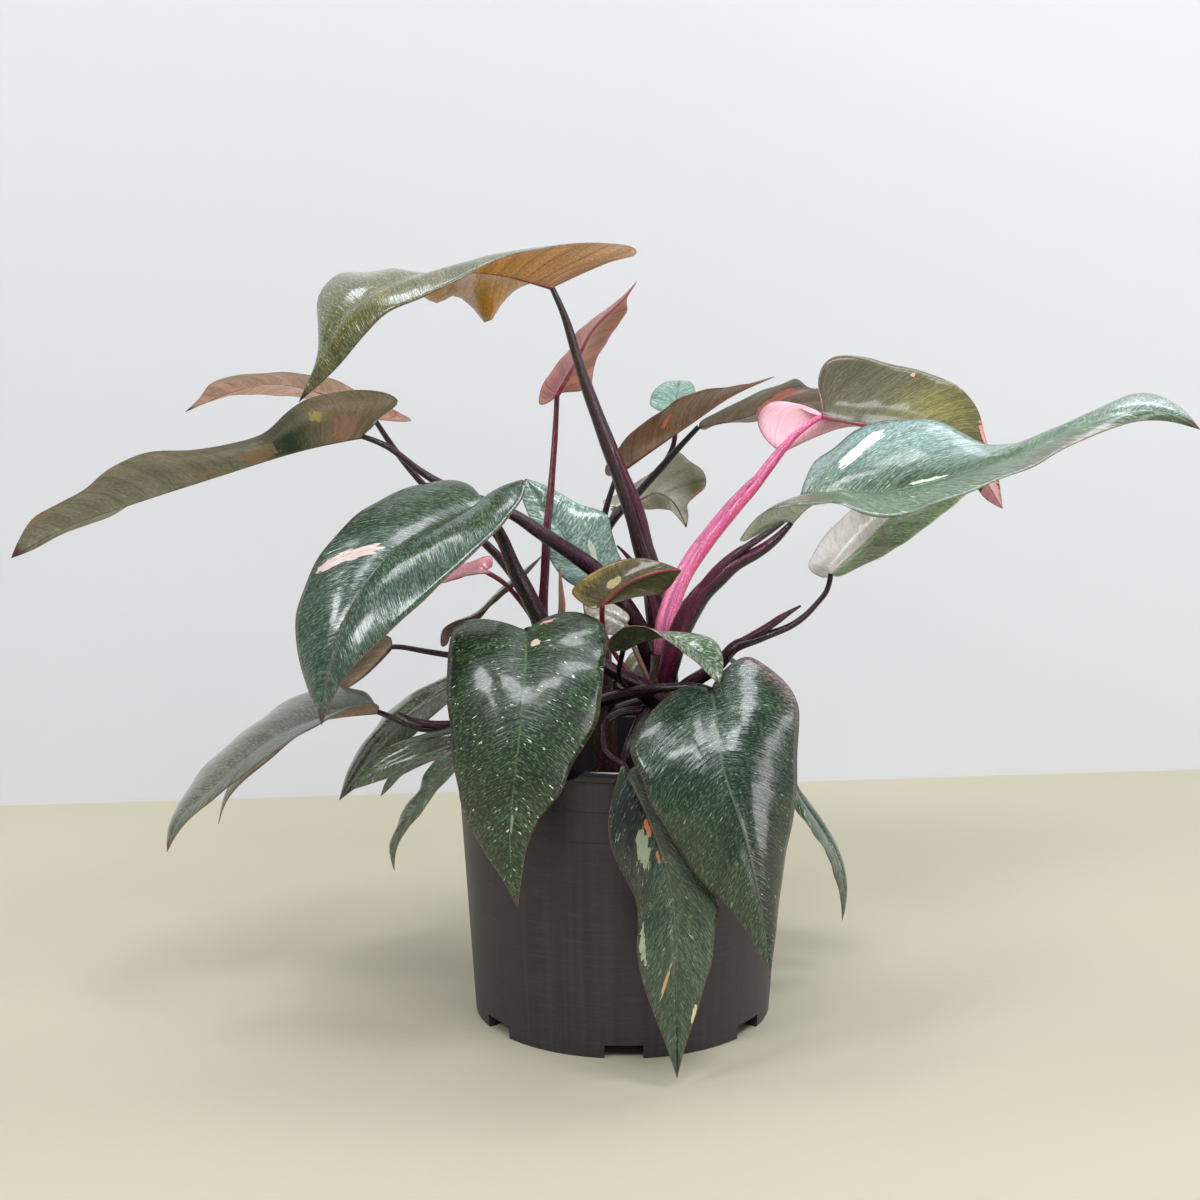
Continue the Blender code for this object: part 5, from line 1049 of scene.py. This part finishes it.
def soil_piece():
    rng = np.random.default_rng(7)
    inner_low = outer_radius(FLOOR_TOP) - POT_WALL
    inner_high = outer_radius(RING_HIGH) + 2 * RING_STEP - POT_WALL
    slope = (inner_high - inner_low) / (RING_HIGH + 2 - FLOOR_TOP)
    low = FLOOR_TOP + 0.4
    edge = inner_low + slope * (SOIL_TOP - 2 - FLOOR_TOP) - 0.3
    profile = [(0, low), (inner_low - 0.5, low), (edge, SOIL_TOP - 2)]
    profile += [(edge * share, SOIL_TOP) for share in SOIL_RINGS] + [(0, SOIL_TOP)]
    vertices, faces = lathe_mesh(profile, SOIL_SIDES)
    for point in vertices:
        if point[2] > SOIL_TOP - 1:
            point[2] += soil_height(point[0], point[1])
            point[2] += rng.uniform(-0.9, 0.9)
    points = [vertices]
    tone = [spread(SOIL_TONE, len(vertices))]
    start = len(vertices)
    corners, ball = bark_bit()
    for _ in range(BARK_BITS):
        reach = (edge - 4) * math.sqrt(rng.uniform(0, 1))
        angle = rng.uniform(0, 2 * math.pi)
        size = rng.uniform(1.2, 4.2) * np.array([1.5, 1.0, 0.45])
        turn = rng.uniform(0, math.pi)
        bit = corners * size * rng.uniform(0.75, 1.2, (len(corners), 1))
        bit = bit @ np.array([[math.cos(turn), math.sin(turn), rng.uniform(-0.3, 0.3)],
                              [-math.sin(turn), math.cos(turn), rng.uniform(-0.3, 0.3)],
                              [0, 0, 1]])
        x, y = reach * math.cos(angle), reach * math.sin(angle)
        points.append(bit + [x, y, SOIL_TOP + soil_height(x, y) + rng.uniform(-0.2, 1.4)])
        tint = BARK_TONES[min(int(rng.uniform(0, 4.35)), 4)]
        tone.append(spread(tint, len(corners)))
        faces += [tuple(n + start for n in face) for face in ball]
        start += len(corners)
    return make_piece("soil_top", np.concatenate(points), faces,
                      {"tone": np.concatenate(tone)}, sharp=30)


# Materials
class Graph:
    """A material's nodes, put together by short calls"""

    def __init__(self, name):
        self.material = bpy.data.materials.new(name)
        self.material.use_nodes = True
        self.tree = self.material.node_tree
        self.shader = self.tree.nodes["Principled BSDF"]

    def put(self, socket, value):
        if isinstance(value, bpy.types.NodeSocket):
            self.tree.links.new(value, socket)
        elif socket.type == "RGBA":
            socket.default_value = (*value, 1)
        else:
            socket.default_value = value

    def node(self, kind, inputs, **settings):
        made = self.tree.nodes.new(f"ShaderNode{kind}")
        for key, value in settings.items():
            setattr(made, key, value)
        for key, value in inputs.items():
            self.put(made.inputs[key], value)
        return made

    def attribute(self, name):
        return self.node("Attribute", {}, attribute_name=name).outputs["Vector"]

    def where(self):
        return self.node("TexCoord", {}).outputs["Object"]

    def split(self, vector):
        return self.node("SeparateXYZ", {0: vector}).outputs

    def join(self, x, y, z):
        return self.node("CombineXYZ", {0: x, 1: y, 2: z}).outputs[0]

    def math(self, operation, a, b=0.0):
        return self.node("Math", {0: a, 1: b}, operation=operation).outputs[0]

    def add(self, *values):
        total = values[0]
        for value in values[1:]:
            total = self.math("ADD", total, value)
        return total

    def less(self, a, b):
        return self.math("SUBTRACT", a, b)

    def times(self, a, b):
        return self.math("MULTIPLY", a, b)

    def step(self, value, low, high, start=0.0, end=1.0):
        inputs = {"Value": value, "From Min": low, "From Max": high, "To Min": start, "To Max": end}
        return self.node("MapRange", inputs, interpolation_type="SMOOTHSTEP").outputs["Result"]

    def noise(self, vector, scale=1.0, detail=2.0):
        inputs = {"Vector": vector, "Scale": scale, "Detail": detail}
        return self.node("TexNoise", inputs).outputs["Fac"]

    def mix(self, share, a, b, blend="MIX"):
        made = self.node("Mix", {}, data_type="RGBA", blend_type=blend)
        for index, value in ((0, share), (6, a), (7, b)):
            self.put(made.inputs[index], value)
        return made.outputs[2]

    def tinted(self, colour, tint):
        return self.mix(1.0, colour, tint, "MULTIPLY")

    def darker(self, colour, share, tint):
        return self.mix(share, colour, self.tinted(colour, tint))

    def bump(self, height, distance):
        return self.node("Bump", {"Height": height, "Distance": distance}).outputs["Normal"]

    def finish(self, **sockets):
        for key, value in sockets.items():
            self.put(self.shader.inputs[key.replace("_", " ")], value)
        return self.material


def leaf_material():
    g = Graph("leaf_skin")
    across, along, seed = g.split(g.attribute("grain"))
    share, from_rib, from_margin = g.split(g.attribute("place"))
    field, grain, white = g.split(g.attribute("mark"))
    veins, under, matt = g.split(g.attribute("form"))
    rib_colour = g.attribute("rib")

    def veined(x, y, shift, detail=2.0):
        """Noise that is drawn out along the side veins"""
        point = g.join(g.times(across, x), g.times(along, y), g.add(seed, shift))
        return g.noise(point, detail=detail)

    # Ground colour, with clouds, ripples and a dark and light grain
    bare = g.attribute("tone")
    # Undersides are painted lighter than the tops (tone times 1.12 against 0.8): painted light standing in for light
    # that shines through the leaf
    tone = g.mix(under, g.tinted(bare, (0.8, 0.8, 0.8)), g.tinted(bare, (1.12, 1.12, 1.12)))
    clump = veined(0.05, 0.09, 7.0)
    ripple = veined(0.07, 0.45, 5.0, 1.0)
    streak = veined(0.12, 1.3, 13.0, 1.0)
    fine = g.add(g.times(veined(0.55, 1.1, 0.0), 0.85), g.times(clump, 0.15))
    cloud = g.times(g.step(veined(0.03, 0.12, 3.0), 0.35, 0.7), g.less(1.0, g.times(under, 0.6)))
    colour = g.darker(tone, cloud, (0.66, 0.7, 0.64))
    colour = g.darker(colour, g.times(g.step(ripple, 0.48, 0.7), 0.35), (0.5, 0.55, 0.5))
    colour = g.darker(colour, g.times(g.step(fine, 0.5, 0.43), grain), (0.27, 0.32, 0.3))
    lighter = g.mix(0.1, g.tinted(tone, (2.5, 2.4, 2.1)), (0.3, 0.36, 0.22))
    colour = g.mix(g.times(g.step(fine, 0.53, 0.6), grain), colour, lighter)
    fleck = g.add(veined(0.3, 0.72, 31.0), g.times(clump, 0.14))
    colour = g.mix(g.times(g.step(fleck, 0.763, 0.778), white), colour, (0.76, 0.8, 0.66))

    # Side veins, bands between them and the dark tip
    swing = g.add(g.times(along, 1 / VEIN_STEP), g.times(veined(0.02, 0.05, 9.0), 0.6))
    swing = g.times(g.math("ABSOLUTE", g.less(g.math("FRACT", swing), 0.5)), 2.0)
    band = g.step(veined(0.015, 0.16, 43.0, 1.0), 0.4, 0.6)
    colour = g.darker(colour, g.times(band, 0.5), (0.62, 0.68, 0.64))
    line = g.times(g.step(swing, 0.88, 1.0), g.step(from_rib, 0.5, 4.0))
    dark = g.mix(g.times(under, g.step(share, 0.1, 0.35, 0.85, 0.0)),
                 g.tinted(tone, (0.4, 0.34, 0.36)), rib_colour)
    colour = g.mix(g.times(line, veins), colour, dark)
    colour = g.mix(g.step(share, 0.955, 0.985), colour, tuple(linear(TIP)))

    # Pale sectors with torn edges
    torn = g.add(field, g.times(g.less(veined(0.16, 0.4, 17.0), 0.5), 0.7))
    paint = g.darker(g.attribute("patch"), g.step(veined(0.06, 0.35, 23.0), 0.45, 0.75),
                     (0.84, 0.8, 0.76))
    mottle = g.step(veined(0.4, 0.8, 51.0), 0.5, 0.66, 0.0, 0.4)
    colour = g.mix(g.step(torn, 0.49, 0.53), colour, g.darker(paint, mottle, (0.6, 0.7, 0.6)))

    # Midrib and edge
    half = g.step(share, 0.0, 1.0, 1.1, 0.3)
    rib = g.less(1.0, g.step(g.math("DIVIDE", from_rib, half), 0.35, 0.95))
    faint = g.step(veined(0.0, 0.07, 37.0), 0.35, 0.6, 0.25, 0.75)
    colour = g.mix(g.times(rib, g.add(faint, g.times(under, 0.2))), colour, rib_colour)
    rim = g.less(1.0, g.step(from_margin, 0.15, 0.75))
    colour = g.mix(g.times(rim, 0.55), colour, g.attribute("edge"))

    rough = g.step(streak, 0.42, 0.6, 0.12, 0.27)
    rough = g.add(rough, g.times(under, 0.2), matt, g.times(rib, 0.3))
    height = g.add(ripple, g.times(streak, 0.6), g.times(fine, 0.1), g.times(line, -0.25))
    return g.finish(Base_Color=colour, Roughness=rough, Normal=g.bump(height, 0.0003),
                    Coat_Weight=0.45, Coat_Roughness=0.12)


def stalk_material():
    g = Graph("stalk_skin")
    around, along, seed = g.split(g.attribute("grain"))
    specks = g.split(g.attribute("mark"))[0]
    streak = g.noise(g.join(g.times(around, 1.3), g.times(along, 0.06), seed))
    grit = g.noise(g.join(g.times(around, 1.6), g.times(along, 0.8), seed), detail=1.0)
    tone = g.tinted(g.attribute("tone"), (0.78, 0.7, 0.76))
    colour = g.darker(tone, g.step(streak, 0.4, 0.7), (0.55, 0.5, 0.55))
    colour = g.mix(g.times(g.step(grit, 0.6, 0.72), specks), colour,
                   g.mix(0.45, tone, (0.9, 0.72, 0.76)))
    height = g.add(g.times(streak, 0.8), g.times(grit, 0.3))
    return g.finish(Base_Color=colour, Roughness=g.step(streak, 0.3, 0.7, 0.2, 0.32),
                    Normal=g.bump(height, 0.0005), Coat_Weight=0.1, Coat_Roughness=0.2)


def pot_material():
    g = Graph("pot_skin")
    where = g.where()
    x, y, z = g.split(where)
    angle = g.math("ARCTAN2", y, x)
    streak = g.noise(g.join(g.times(angle, 22.0), g.times(z, 5.0), 0.0), detail=4.0)
    brush = g.noise(g.join(g.times(angle, 5.0), g.times(z, 900.0), 0.0))
    dust = g.noise(where, scale=900.0)
    cloud = g.noise(where, scale=22.0)
    colour = g.mix(g.step(streak, 0.35, 0.7), (0.017, 0.014, 0.018), (0.026, 0.022, 0.027))
    colour = g.mix(g.times(g.step(brush, 0.5, 0.7), 0.3), colour, (0.046, 0.04, 0.047))
    colour = g.mix(g.step(dust, 0.64, 0.76, 0.0, 0.3), colour, (0.065, 0.058, 0.066))
    colour = g.mix(g.step(cloud, 0.5, 0.75, 0.0, 0.3), colour, (0.036, 0.031, 0.037))
    rim = g.step(z, RIM_LOW * MM - 0.0006, RIM_LOW * MM + 0.0002)
    colour = g.mix(rim, colour, (0.006, 0.006, 0.007))
    rough = g.less(g.add(0.38, g.times(streak, 0.14)), g.times(rim, 0.32))
    height = g.add(g.times(dust, 0.5), g.times(cloud, 0.5), g.times(brush, 0.4))
    return g.finish(Base_Color=colour, Roughness=rough, Normal=g.bump(height, 0.0001))


def soil_material():
    g = Graph("soil_skin")
    grain = g.noise(g.where(), scale=500.0, detail=4.0)
    colour = g.darker(g.attribute("tone"), g.step(grain, 0.35, 0.7), (0.45, 0.42, 0.4))
    return g.finish(Base_Color=colour, Roughness=g.step(grain, 0.2, 0.8, 0.95, 0.75),
                    Normal=g.bump(grain, 0.0012))


def floor_material():
    g = Graph("floor_paint")
    where = g.where()
    colour = g.mix(g.step(g.noise(where, scale=1.4), 0.3, 0.7), *FLOOR_TONES)
    grit = g.noise(where, scale=260.0)
    return g.finish(Base_Color=colour, Roughness=0.7, Normal=g.bump(grit, 0.00015))


def wall_material():
    """Paint that is see-through from behind"""
    g = Graph("wall_paint")
    colour = g.mix(g.step(g.noise(g.where(), scale=1.1), 0.3, 0.7), *WALL_TONES)
    behind = g.node("NewGeometry", {}).outputs["Backfacing"]
    return g.finish(Base_Color=colour, Roughness=0.9, Alpha=g.less(1.0, behind))


# Stage, camera and light
def flat_stage(name, corners, look):
    stage = add_mesh(name, corners, [(0, 1, 2, 3)], scale=1)
    stage.data.materials.append(look)
    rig.stage(stage)


def soft_light(name, place, size, power, colour):
    light = bpy.data.lights.new(name, "AREA")
    light.shape = "RECTANGLE"
    light.size, light.size_y = size
    light.energy = power
    light.color = colour
    lamp = place_object(name, light)
    lamp.location = place
    aim = mathutils.Vector(LIGHT_TARGET) - mathutils.Vector(place)
    lamp.rotation_euler = aim.to_track_quat("-Z", "Y").to_euler()


def make_stage():
    left, right = (-HALF_STAGE, WALL_AT - WALL_SLOPE), (HALF_STAGE, WALL_AT + WALL_SLOPE)
    flat_stage("floor", [(-HALF_STAGE, -HALF_STAGE, 0), (HALF_STAGE, -HALF_STAGE, 0),
                         (*right, 0), (*left, 0)], floor_material())
    flat_stage("backdrop", [(*left, 0), (*right, 0), (*right, WALL_HIGH), (*left, WALL_HIGH)],
               wall_material())
    for lamp in LIGHTS:
        soft_light(*lamp)
    world = bpy.data.worlds.new("studio")
    world.use_nodes = True
    world.node_tree.nodes["Background"].inputs["Color"].default_value = WORLD_COLOUR
    world.node_tree.nodes["Background"].inputs["Strength"].default_value = WORLD_STRENGTH
    bpy.context.scene.world = world


def make_camera():
    lens = bpy.data.cameras.new("camera")
    lens.lens = LENS
    lens.sensor_width = SENSOR
    camera = place_object("camera", lens)
    camera.location = EYE * MM
    camera.rotation_euler = (math.radians(90 - LOOK_DOWN), 0, 0)
    bpy.context.scene.camera = camera


def dress(piece, material, node, slot):
    piece.data.materials.clear()
    piece.data.materials.append(material)
    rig.replaces(piece, node)
    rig.slot(piece, slot)


def main():
    make_camera()
    leaf_look = leaf_material()
    for seed, (name, data) in enumerate(LEAVES.items()):
        piece = blade_piece(name, data, seed, LOOKS.get(name, PLAIN_LOOK))
        dress(piece, leaf_look, f"leaf_{name}", LEAF_SLOTS.get(name, "leaf_green"))
    stalk_look = stalk_material()
    for stem, parts in STALKS.items():
        slot = "stalk_pink" if stem == "petiole_pink" else "stalk_purple"
        dress(stalk_piece(stem, parts), stalk_look, stem, slot)
    dress(pot_piece(), pot_material(), "pot", "pot_plastic")
    dress(soil_piece(), soil_material(), "soil", "soil_bark")
    make_stage()
    view = bpy.context.scene.view_settings
    view.view_transform = "Standard"
    view.exposure = 0.0


main()
with open("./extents.json", "w") as sizes:
    json.dump({"cad": cad_box, "visual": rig.bounds()}, sizes,
              default=lambda values: [list(v) if hasattr(v, "__len__") else v for v in values])
